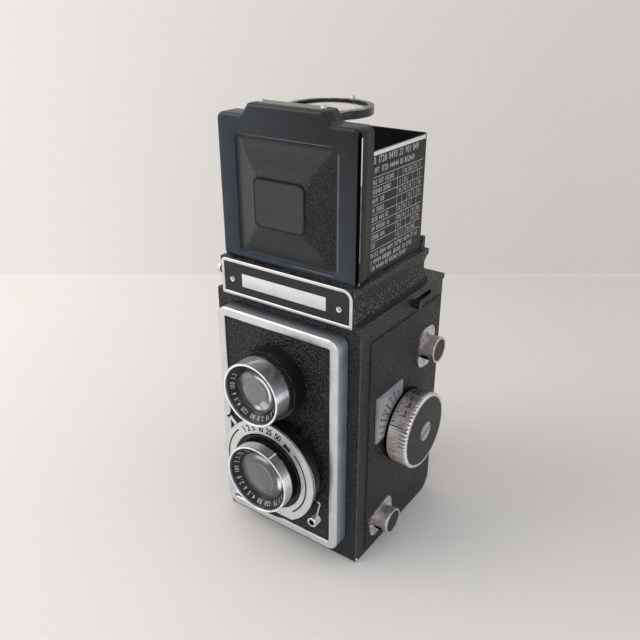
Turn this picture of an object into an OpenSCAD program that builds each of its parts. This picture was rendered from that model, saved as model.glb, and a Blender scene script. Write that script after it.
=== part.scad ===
// Twin lens reflex camera for roll film, with its viewing hood open. Millimetres.
// Front faces -Y, +X is the focus knob side, +Z is up. Inside the modules Y runs back from the body's front
// face and Z up from the resting plane. The origin is the mouth of the tripod socket.

/* [Body] */
// Width across the side walls
body_width = 76; // [74:0.5:82]
// Depth from the front face to the back of the door
body_depth = 71.5; // [71:0.5:80]
// Height from the resting plane to the top wall
body_height = 122; // [121:0.5:130]
// Thickness of the front, side and top walls
body_wall = 1.6; // [1.2:0.1:1.8]
// Radius of the rounded lower rear corner
rear_corner = 8; // [5:0.5:10]
// Thickness of the leather covering
leather_thick = 0.4; // [0.2:0.05:0.5]
// Bare strip of the sides behind the front edge
leather_front_margin = 8; // [6:0.5:10]
// Bare strip of the sides below the top edge
leather_top_margin = 9.8; // [9:0.2:12]
// Bare strip of the sides along the rear and bottom edges
leather_edge_margin = 2.6; // [2:0.2:4]

/* [Fits] */
// Gap between pieces that pass each other
move_gap = 0.3; // [0.2:0.05:0.35]
// Radial gap of a pin or shaft in its bore
run_gap = 0.05; // [0.02:0.01:0.08]
// Gap between the shut door and the body
seat_gap = 0.1; // [0.05:0.05:0.2]

/* [Back door] */
// Thickness of the door's sheet
door_wall = 1.5; // [1:0.1:1.8]
// Height of the finger lip at the top
door_lip_height = 2.4; // [2:0.2:4]
// How far the finger lip stands out
door_lip_depth = 1.5; // [1:0.1:2.5]
// Depth of the light seal flanges inside the body
door_flange_depth = 4; // [3:0.2:5]
// Thickness of the light seal flanges
door_flange_thick = 0.9; // [0.6:0.1:1.2]
// Radius of the hinge knuckles
hinge_radius = 1.2; // [1:0.1:1.5]
// Radius of the door's hinge pin
hinge_pin_radius = 0.6; // [0.4:0.1:0.7]
// Number of hinge knuckles across the body
knuckle_count = 7; // [5:2:9]
// Height of the red film window above the resting plane
window_height = 46.2; // [40:0.5:60]
// Radius of the red film window
window_radius = 4; // [3:0.5:6]
// Thickness of the window's cover plate
window_cover_thick = 1; // [0.6:0.1:1.5]
// Distance from the window to the cover's pivot
window_pivot_x = 9; // [8:0.5:12]
// Radius of the cover's pivot rivet
window_pivot_radius = 1; // [0.7:0.1:1.5]

/* [Back latch] */
// Distance of the slot's middle behind the front face
latch_middle = 46; // [44:0.5:48]
// Depth of the slot's middle below the top edge
latch_drop = 4.6; // [4.2:0.1:5]
// Travel of the latch
latch_travel = 6; // [4:0.5:8]
// Radius of the latch knob
latch_knob_radius = 2; // [1.5:0.1:2.2]
// How far the latch knob stands out of the side
latch_knob_length = 3.6; // [2.5:0.1:5]
// Radius of the latch knob's stem
latch_stem = 1; // [0.7:0.1:1.2]
// Length of the latch's inner bar
latch_bar_length = 12; // [10:0.5:14]

/* [Tripod socket] */
// Distance of the socket behind the front face
socket_y = 45; // [44:0.5:48]
// Radius of the threaded bore, three eighths of an inch across
socket_bore_radius = 4.76; // [3.1:0.01:5]
// Depth of the threaded bore
socket_depth = 7; // [5:0.5:8]
// Radius of the socket's boss
socket_boss = 8; // [7:0.5:9]
// Height of the cross bar that carries the socket
bridge_height = 6; // [5.8:0.2:7]
// Thickness of the cross bar
bridge_thick = 3; // [2:0.2:4]
// Depth of the cross bar from front to back
bridge_depth = 14; // [10:0.5:15]

/* [Film] */
// Gap between a spool's end and the side wall
spool_side_gap = 3.5; // [3.2:0.1:4.4]
// Radius of a spool's flanges
spool_flange = 12.5; // [12:0.1:12.7]
// Thickness of a spool's flanges
spool_flange_thick = 1; // [0.8:0.1:1.4]
// Radius of a spool's core
spool_core_radius = 5.5; // [5:0.1:6.5]
// Radius of the hole in a spool's end
spool_hole_radius = 3.4; // [3:0.1:3.6]
// Depth of the hole in a spool's end
spool_hole_depth = 4.5; // [4:0.1:6]
// Distance of the take-up spool's axis from the back of the door
upper_spool_from_back = 14.7; // [14.5:0.1:15.5]
// Height of the take-up spool above the taking axis
upper_spool_rise = 44.3; // [43.8:0.1:47]
// Distance of the supply spool's axis behind the front face
lower_spool_y = 20.5; // [20:0.5:22]
// Height of the supply spool's axis
lower_spool_z = 14.6; // [14.5:0.1:15]
// Size of the square picture
gate_size = 56; // [54:0.5:57]
// Distance of the film plane from the back of the door
film_plane_from_back = 7.5; // [7:0.1:8]
// Thickness of the film gate
gate_thick = 1.4; // [1:0.1:2]
// Width of the gate's frame above and below the picture
gate_frame = 1; // [0.8:0.1:1.4]
// Radius of the film rollers
roller_radius = 1.6; // [1.4:0.1:1.7]
// Radius of the rollers' pins
roller_pin_radius = 0.9; // [0.6:0.1:1]
// Share of the room beside the gate for its posts
post_share = 3; // [2.4:0.1:3.2]
// Share of the room inside the posts
post_inside = 2.6; // [2.4:0.1:2.8]
// Share of the room outside the posts
post_outside = 1.8; // [1.6:0.1:2.2]
// Wall of the light tunnel
tunnel_wall = 0.8; // [0.6:0.1:1]
// Largest half size of the light tunnel's front mouth
tunnel_mouth = 15; // [13:0.5:15.2]
// Distance of the light tunnel's mouth behind the front face
tunnel_front = 10; // [9.6:0.2:12]
// Thickness of the pressure plate
pressure_plate_thick = 1.2; // [0.8:0.1:1.6]
// Gap in which the film runs
film_channel = 0.5; // [0.4:0.1:0.8]

/* [Mirror and screen] */
// Distance of the mirror's middle behind the front face
mirror_y = 31; // [30:0.2:31.2]
// Length of the mirror below its middle
mirror_below = 27; // [24:0.5:28]
// Length of the mirror above its middle
mirror_above = 33; // [28:0.5:34]
// Width of the mirror
mirror_width = 56; // [50:0.5:57]
// Thickness of the mirror
mirror_thick = 1.6; // [1.2:0.1:2]
// Wall of the mirror box
mirror_box_wall = 1; // [0.8:0.1:1.4]
// How far the mirror box reaches below the viewing axis
mirror_box_below = 24.3; // [22.3:0.1:25.3]
// Distance of the mirror box behind the front face
mirror_box_front = 10; // [9.8:0.1:11]
// Size of the opening below the focusing screen
screen_opening = 50; // [48:0.5:50.5]
// How far the screen rests on the edge of its opening
screen_rest = 1.2; // [1:0.1:1.4]
// Thickness of the focusing screen
screen_thick = 1.5; // [1:0.1:2]
// Thickness of the screen's frame
screen_frame_thick = 0.8; // [0.6:0.1:1.2]

/* [Lens board] */
// Width of the chrome frame
board_width = 64.6; // [63:0.2:66]
// Height of the frame's lower edge
board_low = 9.4; // [8:0.1:11]
// Distance of the frame's upper edge below the body's top
board_drop = 4.7; // [4:0.1:5]
// Share of the board's free height below the shutter
room_below = 6.9; // [6:0.1:8]
// Share of the free height between the lenses
room_between = 2.5; // [2:0.1:3]
// Share of the free height above the lenses
room_above = 6.7; // [6:0.1:8]
// How far the frame stands out of the body
board_stand_out = 7.7; // [7:0.1:8.5]
// Width of the frame's front band
board_band = 4.3; // [3.5:0.1:4.6]
// Radius of the frame's corners
board_corner = 5; // [4.4:0.1:6]
// Thickness of the frame's metal
board_metal = 1.1; // [0.8:0.1:1.3]
// Thickness of the lens board
board_plate = 1.5; // [1.2:0.1:2]
// Travel of the lens board when focusing
focus_travel = 6.5; // [5:0.1:6.6]
// Width of the light seal skirt
skirt_width = 52; // [50:0.5:53]
// How far the skirt reaches below the taking axis
skirt_below = 18.2; // [17.2:0.1:18.6]
// Drop of the skirt's upper edge below the frame's
skirt_drop = 5.3; // [4.3:0.1:9]
// How far the skirt reaches into the body
skirt_reach = 8.6; // [8.5:0.1:9]
// Wall of the skirt
skirt_wall = 1.2; // [1:0.1:1.5]
// Radius of the guide rods
rod_radius = 1.4; // [1:0.1:1.5]
// Distance of the guide rods from the middle
rod_offset = 28.4; // [28.4:0.1:29]
// Height of the lower guide rods
rod_low = 34; // [32:0.5:40]
// Drop of the upper guide rods below the frame's edge
rod_drop = 13.3; // [11.3:0.1:22]

/* [Viewing lens] */
// Radius of the chrome rim
view_rim_radius = 14.6; // [13.6:0.1:14.8]
// Wall of the chrome rim
view_rim_wall = 1.1; // [0.8:0.1:1.2]
// How far the rim's front stands ahead of the body
view_rim_front = 25; // [23:0.5:27]
// How far the black base stands ahead of the body
view_base_front = 15; // [14:0.5:16]
// Radius of the black base
view_base = 16; // [15:0.1:16.5]
// Radius of the viewing lens glass
view_glass = 9.6; // [8:0.1:10]
// Radius of the lens tube through the board
view_tube = 12; // [11:0.1:13]

/* [Taking lens] */
// Radius of the chrome rim
take_rim_radius = 16.5; // [15.8:0.1:16.8]
// How far the rim's front stands ahead of the body
take_rim_front = 23.7; // [22:0.1:25]
// Length of the chrome rim
take_rim_length = 5.2; // [4:0.1:5.4]
// Radius of the black barrel behind the rim
take_barrel = 15.3; // [15:0.1:15.4]
// Radius of the barrel's tail in the shutter
take_tail = 14.6; // [14:0.1:14.8]
// Radius of the taking lens glass
take_glass = 11.4; // [9:0.1:11.6]

/* [Shutter] */
// Radius of the shutter drum
drum_radius = 25.6; // [25:0.1:26.5]
// How far the drum's front stands ahead of the body
shutter_front = 14.6; // [14.4:0.1:15]
// Depth of the shutter drum
shutter_depth = 4.2; // [4.2:0.1:5]
// Radius of the drum's foot on the board
shutter_foot = 24; // [22:0.1:24.5]
// Wall of the drum's rim
shutter_rim = 2.2; // [1.8:0.1:2.6]
// Outer radius of the sleeve that carries the levers
sleeve_radius = 19.5; // [19.3:0.1:20]
// Radius of the light passage
passage = 12.2; // [11:0.1:12.6]
// Thickness of the silver face ring
face_thick = 1; // [0.8:0.1:1.2]
// Outer radius of the silver face ring
face_radius = 25.3; // [24.6:0.1:25.6]
// Inner radius of the silver face ring
face_inner = 18.9; // [18.8:0.1:19.2]
// Height of the face ring's flat below the lens axis
face_flat = 21.6; // [20.5:0.1:23]
// Thickness of the lever rings
lever_thick = 0.7; // [0.5:0.05:0.75]
// Outer radius of the speed ring
speed_radius = 18.4; // [18:0.1:18.5]
// Thickness of the speed ring
speed_ring_thick = 1.4; // [1.2:0.1:1.6]
// Direction of the cocking lever at rest
cocking_angle = 137; // [130:1:140]
// Reach of the cocking lever from the lens axis
cocking_reach = 31.6; // [29:0.1:33]
// Turn of the cocking lever
cocking_turn = 40; // [20:5:45]
// Direction of the release lever at rest
release_angle = 323; // [320:1:328]
// Reach of the release lever from the lens axis
release_reach = 30.1; // [29.8:0.1:31.5]
// Turn of the release lever
release_turn = 12; // [6:1:20]
// Direction of the aperture lever at rest
aperture_angle = 228; // [222:1:235]
// Reach of the aperture lever from the lens axis
aperture_reach = 33.6; // [29:0.1:35]
// Turn of the aperture lever
aperture_turn = 40; // [20:5:45]
// Width of the lever arms
lever_width = 2; // [1.5:0.1:2.5]
// Radius of the release lever's round end
release_tip = 2.4; // [2:0.1:2.8]

/* [Focus drive] */
// Distance of the knob's axis behind the front face
knob_y = 38; // [37:0.5:39]
// Height of the knob's axis above the taking axis
knob_rise = 11.6; // [10.8:0.1:12.8]
// Radius of the knurled rim
knob_radius = 18.5; // [17.6:0.1:19]
// Radius of the scale barrel
knob_barrel_radius = 17.7; // [16:0.1:18]
// Gap between the body's side and the knob
knob_clear = 2.3; // [2:0.1:3]
// Length of the knob
knob_length = 10.2; // [9:0.1:12]
// Length of the knurled rim
knurl_length = 4.4; // [3:0.1:6]
// Number of grooves in the knurled rim
knurl_count = 60; // [40:4:80]
// Depth of the knurl
knurl_depth = 0.5; // [0.3:0.05:0.7]
// Radius of the knob's black face
knob_face_radius = 16.6; // [12:0.1:16.8]
// Radius of the knob's screw head
knob_screw_radius = 4.6; // [2.5:0.1:5]
// Radius of the focus shaft
shaft_radius = 3; // [2.6:0.1:3.4]
// Module of the pinion and rack
gear_module = 0.5; // [0.4:0.05:0.6]
// Number of pinion teeth
pinion_teeth = 10; // [10:1:12]
// Pressure angle of the teeth
pressure_angle = 25; // [25:1:27]
// Play between the teeth
gear_play = 0.16; // [0.1:0.02:0.2]
// Width of the rack
rack_width = 3.5; // [3:0.1:4]
// Height of the rack's bar above its teeth
rack_bar_height = 3; // [2.4:0.1:3.4]
// Distance of the rack from the middle
rack_offset = 26.5; // [26.4:0.1:27]

/* [Side fittings] */
// Front edge of the depth scale plate behind the body's front
scale_plate_front = 13.3; // [11:0.1:15]
// Width of the depth scale plate
scale_plate_width = 22; // [18:0.5:24]
// Height of the depth scale plate above the knob's axis
scale_plate_rise = 2.1; // [-2.8:0.1:3.2]
// Height of the depth scale plate
scale_plate_height = 23; // [20:0.5:24]
// Thickness of the side plates
side_plate_thick = 0.8; // [0.5:0.1:1]
// Length of a spool knob's plate
knob_plate_length = 20; // [19:0.5:21]
// Width of a spool knob's plate
knob_plate_width = 14; // [13.5:0.1:15]
// Radius of the knob plates' corners
knob_plate_corner = 5; // [3:0.1:6]
// Distance of the rivets from a plate's middle
rivet_offset = 7.8; // [7.6:0.1:8]
// Radius of the rivet heads
rivet_radius = 1; // [0.7:0.1:1.2]
// Radius of the spool knobs
spool_knob_r = 6.3; // [5.2:0.1:6.5]
// Length of the spool knobs
spool_knob_length = 6.6; // [5:0.1:8]
// Radius of the spool knobs' shafts
spool_shaft = 2.4; // [2:0.1:2.7]
// Radius of the spool pins
spool_pin_radius = 3.1; // [2.9:0.1:3.2]
// Pull of the spool knobs
spool_knob_travel = 4.2; // [3.5:0.1:4.3]
// Radius of the winding knob
winding_knob_radius = 11; // [9:0.1:12]
// Length of the winding knob
winding_knob_length = 8; // [6:0.1:10]

/* [Hood base] */
// How far the hood base stands in from the body's sides
hood_inset = 2.8; // [2:0.1:3]
// Depth of the hood base
hood_depth = 60.6; // [60.4:0.2:62]
// Height of the hood base
hood_base_height = 15.4; // [14:0.1:17]
// Wall of the hood base
hood_wall = 3; // [2.6:0.1:3.2]
// Height of the plain lip above the hollow flank
hood_lip = 2.4; // [2:0.1:3]
// Height of the plain foot below the hollow flank
hood_foot = 1.6; // [1:0.1:2.4]
// Depth of the hollow flank
hood_cove = 1.3; // [0.8:0.1:1.6]
// How far the name plate stands in from the hood's sides
name_plate_inset = 0.9; // [0.7:0.1:2.2]
// How far the name plate reaches below the hood base
name_plate_drop = 1.4; // [0.8:0.1:2]
// Thickness of the name plate
name_plate_thick = 0.6; // [0.4:0.1:0.8]
// Radius of the name plate's upper corners
name_plate_corner = 4.5; // [3:0.1:6]
// Distance of the name plate's screws from its ends
name_screw_inset = 6.3; // [4.3:0.1:8.3]
// Radius of the name plate's screw heads
name_screw = 1.25; // [1:0.05:1.6]
// Radius of the hood catch button
catch_radius = 1.6; // [1.2:0.1:2]
// Press of the hood catch button
catch_travel = 1; // [0.5:0.1:1.2]

/* [Hood lid] */
// How far the lid stands in from the hood's sides
lid_inset = 0.8; // [0.2:0.1:1]
// Height of the lid without its tab
lid_height = 61; // [58:0.5:64]
// Distance of the lid's front behind the body's front
lid_front = 1.7; // [1.4:0.1:1.8]
// Thickness of the lid's sheet
lid_sheet = 0.8; // [0.6:0.1:0.9]
// Depth of the lid's turned edge
lid_flange = 10; // [9.6:0.1:12]
// Radius of the lid's corners
lid_corner = 3; // [2:0.1:5]
// Width of the tab at its foot
tab_foot = 42.5; // [42:0.1:46]
// Width of the tab at its top
tab_top = 36; // [35.6:0.1:37]
// Height of the tab
tab_height = 4.6; // [4.4:0.1:5.4]
// Size of the square panel in the lid
lid_panel = 50.4; // [46:0.2:52]
// Depth of the panel's rim below the lid's front
lid_panel_depth = 0.5; // [0.3:0.1:0.6]
// Margin between the panel's rim and the raised part
lid_panel_margin = 2.4; // [1.5:0.1:4]
// How far the raised part stands out of the lid's front
lid_rise = 3.5; // [2:0.1:5]
// Width of the centre plate
centre_plate_width = 24.6; // [22:0.1:26]
// Height of the centre plate
centre_plate_height = 19.6; // [18:0.1:22]
// Thickness of the centre plate
centre_plate_thick = 0.5; // [0.3:0.1:0.8]

/* [Hood panels] */
// Thickness of the hood panels
panel_thick = 0.8; // [0.6:0.1:0.9]
// Distance of the side panels' pins from the hood's sides
panel_pin_inset = 2.9; // [2.8:0.1:3]
// Height of the side panels
panel_height = 49.4; // [46:0.2:52]
// Radius of the panels' pins
panel_pin = 0.5; // [0.4:0.05:0.6]
// Radius of the panels' knuckles
knuckle = 1; // [0.9:0.05:1.05]
// Front end of the side panels behind the body's front
panel_front = 6; // [5.8:0.1:8]
// Height of the right panel's pin above the hood base
right_pin_rise = 1.5; // [1.4:0.1:1.6]
// Step in height from one folded panel to the next
panel_step = 1.6; // [1.5:0.1:1.8]

/* [Magnifier] */
// Radius of the magnifier's ring
magnifier_radius = 18; // [17:0.1:19]
// Wall of the magnifier's ring
magnifier_wall = 2.4; // [1.8:0.1:3]
// Thickness of the magnifier's ring
magnifier_thick = 3.4; // [2.6:0.1:3.6]
// Distance of the magnifier's middle behind the body's front
magnifier_y = 33; // [31:0.5:34]
// Depth of the magnifier's top below the tab's top
magnifier_drop = 3; // [2.8:0.1:3.2]
// Distance of the magnifier's hinge behind the body's front
magnifier_pin_y = 9; // [8.8:0.1:9.6]

/* [Hidden] */
$fn = 96;

// Overrun of a cutting shape past the face that it cuts
cut = 1;
half_width = body_width / 2;
inner_half = half_width - body_wall;
top_inner = body_height - body_wall;
side_face = half_width + leather_thick;
plate_face = side_face + side_plate_thick;

// Heights of the lens axes, from the free height that the frame leaves beside the lenses
board_high = body_height - board_drop;
board_room = board_high - board_low - 2 * (board_band + view_base + drum_radius);
room_share = board_room / (room_below + room_between + room_above);
take_z = board_low + board_band + drum_radius + room_share * room_below;
view_z = take_z + drum_radius + view_base + room_share * room_between;
rod_high = board_high - rod_drop;
skirt_low = take_z - skirt_below;
skirt_high = board_high - skirt_drop;
mirror_box_low = view_z - mirror_box_below;

// Lens board stations along Y
board_front = -board_stand_out;
band_back = board_front + board_metal;
plate_back = band_back + board_plate;
leather_face = band_back - leather_thick;
skirt_half = skirt_width / 2;

// Film path
upper_spool_y = body_depth - upper_spool_from_back;
upper_spool_z = take_z + upper_spool_rise;
spool_length = 2 * (inner_half - spool_side_gap);
film_plane = body_depth - film_plane_from_back;
gate_half = gate_size / 2;
gate_front = film_plane - gate_thick;
gate_edge = gate_half + gate_frame;
roller_drop = gate_edge + roller_radius + run_gap * 2;
side_share = (inner_half - gate_edge) / (post_inside + post_share + post_outside);
post_inner = gate_edge + side_share * post_inside;
gate_post = side_share * post_share;
roller_length = 2 * (post_inner - move_gap);
tunnel_tail = gate_edge - tunnel_wall;

// The light tunnel's lower wall starts at the gate and passes clear above the supply spool
spool_away = [gate_front - lower_spool_y, lower_spool_z + gate_edge - take_z];
tunnel_slope = atan(spool_away[1] / spool_away[0])
  + asin((spool_flange + move_gap) / norm(spool_away));
tunnel_room = gate_edge - tan(tunnel_slope) * (gate_front - tunnel_front) - tunnel_wall;
tunnel_mouth_high = min(tunnel_mouth, tunnel_room);

// Hood stations
hood_top = body_height + hood_base_height;
hood_half = half_width - hood_inset;
hood_width = 2 * hood_half;
name_plate_width = hood_width - 2 * name_plate_inset;
name_screw_offset = name_plate_width / 2 - name_screw_inset;
lid_width = hood_width - 2 * lid_inset;
panel_pin_offset = hood_half - panel_pin_inset;
lid_low = hood_top + move_gap;
lid_high = lid_low + lid_height;
tab_high = lid_high + tab_height;
lid_back = lid_front + lid_flange;
lid_panel_middle = lid_low + lid_height / 2 - lid_panel_margin;
lid_panel_face = lid_front + lid_panel_depth;
right_pin_z = hood_top + right_pin_rise;
left_pin_z = right_pin_z + panel_step;
rear_pin_z = left_pin_z + panel_step;
ear = 1.2;
rear_pin_y = hood_depth - knuckle - move_gap * 2;
panel_back = rear_pin_y - knuckle - move_gap - ear;
panel_high = right_pin_z + panel_height;
lid_pin_y = lid_front + lid_sheet + knuckle;
magnifier_top = tab_high - magnifier_drop;
magnifier_pin_z = magnifier_top + panel_pin;
magnifier_knuckle = knuckle + lid_sheet / 2;

// Shutter stations along Y
drum_back = -shutter_front + shutter_depth;
cavity_back = drum_back - face_thick;
lever_pitch = (shutter_depth - face_thick) / 3;
lever_inner = sleeve_radius + run_gap;
lever_outer = drum_radius - shutter_rim - move_gap * 2;
tail_back = drum_back - lever_thick;

// Focus drive
knob_z = take_z + knob_rise;
scale_plate_low = knob_z + scale_plate_rise;
knob_base = half_width + knob_clear;
knob_end = knob_base + knob_length;
pitch_radius = gear_module * pinion_teeth / 2;
tooth_tip = 0.7 * gear_module;
tooth_root = gear_module;
base_radius = pitch_radius * cos(pressure_angle);
tooth_pitch = PI * gear_module;
rack_pitch_z = knob_z + pitch_radius;
rack_lug_front = skirt_reach + move_gap * 2;

// Extrudes a side view, drawn in Y and Z, along X
module along_x(from, to) {
  translate([from, 0, 0])
    rotate([90, 0, 90])
      linear_extrude(to - from)
        children();
}

// Extrudes a front view, drawn in X and Z, along Y
module along_y(from, to) {
  translate([0, to, 0])
    rotate([90, 0, 0])
      linear_extrude(to - from)
        children();
}

module rod_x(radius, from, to, y, z) {
  translate([from, y, z])
    rotate([0, 90, 0])
      cylinder(r = radius, h = to - from);
}

module rod_y(radius, from, to, x, z) {
  translate([x, from, z])
    rotate([-90, 0, 0])
      cylinder(r = radius, h = to - from);
}

// Rods on the lens axes, and bores right through
module take_rod(radius, from, to) {
  rod_y(radius, from, to, 0, take_z);
}

module take_bore(radius) {
  take_rod(radius, -body_depth, body_depth);
}

module view_rod(radius, from, to) {
  rod_y(radius, from, to, 0, view_z);
}

module view_bore(radius) {
  view_rod(radius, -body_depth, body_depth);
}

module cone_y(radius_from, radius_to, from, to, z) {
  translate([0, from, z])
    rotate([-90, 0, 0])
      cylinder(r1 = radius_from, r2 = radius_to, h = to - from);
}

module box(x, y, z) {
  translate([x[0], y[0], z[0]])
    cube([x[1] - x[0], y[1] - y[0], z[1] - z[0]]);
}

// A pair of mirror images about the middle plane
module both_sides() {
  children();
  mirror([1, 0, 0])
    children();
}

// Moves a piece from the body's front edge to the frame of the socket
module in_frame(tint) {
  color(tint)
    translate([0, -socket_y, 0])
      children();
}

module round_rect(width, low, high, radius) {
  translate([-width / 2, low + radius])
    square([width, high - low - 2 * radius]);
  translate([-width / 2 + radius, low])
    square([width - 2 * radius, high - low]);
  for (x = [-1, 1])
    for (z = [low + radius, high - radius])
      translate([x * (width / 2 - radius), z])
        circle(radius);
}

// A rectangle with only its upper corners rounded
module top_round_rect(width, low, high, radius) {
  translate([-width / 2, low])
    square([width, high - low - radius]);
  translate([-width / 2 + radius, low])
    square([width - 2 * radius, high - low]);
  for (x = [-1, 1])
    translate([x * (width / 2 - radius), high - radius])
      circle(radius);
}

// A pie slice that masks a ring between two directions
module slice(radius, from, to) {
  steps = 8;
  step = (to - from) / steps;
  rim = [for (i = [0:steps]) 2 * radius * [cos(from + step * i), sin(from + step * i)]];
  polygon(concat([[0, 0]], rim));
}

function knurl(radius, depth, count) =
  [for (i = [0:2 * count - 1]) (radius - (i % 2) * depth) * [cos(i * 180 / count), sin(i * 180 / count)]];

// Side view of the body, drawn in Y and Z, with its rounded lower rear corner
module body_profile(inset) {
  translate([0, inset])
    square([body_depth - rear_corner, body_height - inset]);
  translate([0, rear_corner])
    square([body_depth - inset, body_height - rear_corner]);
  translate([body_depth - rear_corner, rear_corner])
    circle(rear_corner - inset);
}

// One hinge knuckle's span along X, counted from the left
knuckle_pitch = body_width / knuckle_count;
function knuckle_from(i) = -half_width + i * knuckle_pitch + (i == 0 ? 0 : move_gap / 2);
function knuckle_to(i) = -knuckle_from(knuckle_count - 1 - i);
hinge_room = 2 * hinge_radius + move_gap;

module body_shell() {
  in_frame("#1b1b1c")
    difference() {
      union() {
        difference() {
          along_x(-half_width, half_width)
            body_profile(door_wall + seat_gap);
          along_x(-inner_half, inner_half)
            translate([body_wall, -cut])
              square([body_depth, top_inner + cut]);
          box([-body_width, body_width], [-cut, hinge_room], [-cut, hinge_room]);
          box([-skirt_half - move_gap, skirt_half + move_gap], [-cut, body_wall + cut],
            [skirt_low - move_gap, skirt_high + move_gap]);
          screen_block(screen_opening / 2, [top_inner - cut, body_height + cut]);
          latch_slot();
        }
        for (i = [0:2:knuckle_count - 1]) {
          rod_x(hinge_radius, knuckle_from(i), knuckle_to(i), hinge_radius, hinge_radius);
          box([knuckle_from(i), knuckle_to(i)], [0, hinge_radius], [hinge_radius, hinge_room + body_wall]);
        }
      }
      rod_x(hinge_pin_radius + run_gap, -body_width, body_width, hinge_radius, hinge_radius);
      shaft_bores(run_gap);
      rod_set(rod_radius + run_gap, -cut, body_wall + cut);
    }
}

// Bores in the sides for the focus shaft, the spool knobs and the winding shaft
module shaft_bores(gap) {
  rod_x(shaft_radius + gap, 0, body_width, knob_y, knob_z);
  rod_x(spool_shaft + gap, 0, body_width, upper_spool_y, upper_spool_z);
  rod_x(spool_shaft + gap, 0, body_width, lower_spool_y, lower_spool_z);
  rod_x(shaft_radius + gap, -body_width, 0, upper_spool_y, upper_spool_z);
}

// The four guide rods, or their bores
module rod_set(radius, from, to) {
  for (x = [-rod_offset, rod_offset])
    for (z = [rod_low, rod_high])
      rod_y(radius, from, to, x, z);
}

// A square block above the mirror's middle
module screen_block(half, z) {
  box([-half, half], [mirror_y - half, mirror_y + half], z);
}

// Slot in the right side wall for the latch's stem
latch_z = body_height - latch_drop;
latch_start = latch_middle - latch_travel / 2;
module latch_slot() {
  box([0, body_width],
    [latch_start - latch_stem - move_gap, latch_start + latch_travel + latch_stem + move_gap],
    [latch_z - latch_stem - move_gap, latch_z + latch_stem + move_gap]);
}

module body_leathers() {
  in_frame("#222222") {
    difference() {
      both_sides()
        along_x(half_width, side_face)
          intersection() {
            body_profile(leather_edge_margin);
            translate([leather_front_margin, 0])
              square([body_depth, body_height - leather_top_margin]);
          }
      shaft_bores(move_gap);
    }
    front_leather();
  }
}

// Leather on the front, seen round the lens board, clear of the board's frame
module front_leather() {
  leather_sheet = (move_gap - seat_gap) / 2;
  difference() {
    box([-half_width, half_width], [-leather_sheet, 0],
      [hinge_room, body_height - name_plate_drop - move_gap]);
    box([-skirt_half - move_gap, skirt_half + move_gap], [-cut, cut],
      [skirt_low - move_gap, skirt_high + move_gap]);
    rod_set(rod_radius + move_gap, -cut, cut);
  }
}

// A slab along the mirror's slope, measured from the mirror's face towards the rear
module mirror_slab(half, below, above, from, to) {
  translate([0, mirror_y, view_z])
    rotate([45, 0, 0])
      box([-half, half], [-below, above], [-to, -from]);
}

mirror_box_inner = mirror_width / 2 + move_gap;
module mirror_box() {
  in_frame("#161616")
    intersection() {
      union() {
        mirror_slab(mirror_box_inner + mirror_box_wall, body_depth, body_depth, mirror_thick,
          mirror_thick + mirror_box_wall);
        difference() {
          box([-mirror_box_inner - mirror_box_wall, mirror_box_inner + mirror_box_wall],
            [0, body_depth], [0, top_inner]);
          box([-mirror_box_inner, mirror_box_inner], [-cut, body_depth + cut], [-cut, body_height]);
          mirror_slab(body_width, body_height, body_height, mirror_thick, body_height);
        }
      }
      box([-half_width, half_width], [mirror_box_front, mirror_y + screen_opening / 2 + mirror_box_wall],
        [mirror_box_low, top_inner]);
    }
}

module reflex_mirror() {
  in_frame("#c9d2d6")
    mirror_slab(mirror_width / 2, mirror_below, mirror_above, 0, mirror_thick);
}

// A four sided funnel between two planes, drawn as the overlap of a side view and a top view
function funnel_outline(mouth, tail, from, to) = [[from, -mouth], [to, -tail], [to, tail], [from, mouth]];
module funnel(side_outline, top_outline) {
  intersection() {
    along_x(-half_width, half_width)
      translate([0, take_z])
        polygon(side_outline);
    translate([0, 0, take_z - body_depth])
      linear_extrude(2 * body_depth)
        mirror([1, -1])
          polygon(top_outline);
  }
}

module light_tunnel() {
  in_frame("#141414")
    difference() {
      funnel(
        funnel_outline(tunnel_mouth_high + tunnel_wall, tunnel_tail + tunnel_wall, tunnel_front, gate_front),
        funnel_outline(tunnel_mouth + tunnel_wall, tunnel_tail + tunnel_wall, tunnel_front, gate_front)
      );
      tunnel_hollow();
    }
}

// The hollow keeps its slope past both ends of the tunnel
function hollow_outline(mouth) =
  let (slope = (tunnel_tail - mouth) / (gate_front - tunnel_front))
    funnel_outline(mouth - slope * cut, tunnel_tail + slope * cut, tunnel_front - cut, gate_front + cut);
module tunnel_hollow() {
  funnel(hollow_outline(tunnel_mouth_high), hollow_outline(tunnel_mouth));
}

module film_gate() {
  in_frame("#2a2a2b")
    difference() {
      union() {
        box([-inner_half, inner_half], [gate_front, film_plane], [take_z - gate_edge, take_z + gate_edge]);
        both_sides()
          box([post_inner, post_inner + gate_post], [gate_front - roller_radius, film_plane],
            [take_z - roller_drop - roller_radius, take_z + roller_drop + roller_radius]);
      }
      box([-gate_half, gate_half], [0, body_depth], [take_z - gate_half, take_z + gate_half]);
      for (z = [take_z - roller_drop, take_z + roller_drop])
        rod_x(roller_pin_radius + run_gap, -body_width, body_width, gate_front, z);
    }
}

module film_roller(z) {
  pin_half = post_inner + gate_post;
  rod_x(roller_radius, -roller_length / 2, roller_length / 2, gate_front, z);
  rod_x(roller_pin_radius, -pin_half, pin_half, gate_front, z);
}

module upper_film_roller() {
  in_frame("#b8babd")
    film_roller(take_z + roller_drop);
}

module lower_film_roller() {
  in_frame("#b8babd")
    film_roller(take_z - roller_drop);
}

screen_half = screen_opening / 2 + screen_rest;
module focusing_screen() {
  in_frame("#dfe5e2")
    screen_block(screen_half, [body_height, body_height + screen_thick]);
}

module screen_frame() {
  low = body_height + screen_thick;
  in_frame("#1c1c1c")
    difference() {
      screen_block(screen_half, [low, low + screen_frame_thick]);
      screen_block(screen_opening / 2, [low - cut, low + screen_frame_thick + cut]);
    }
}

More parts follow.
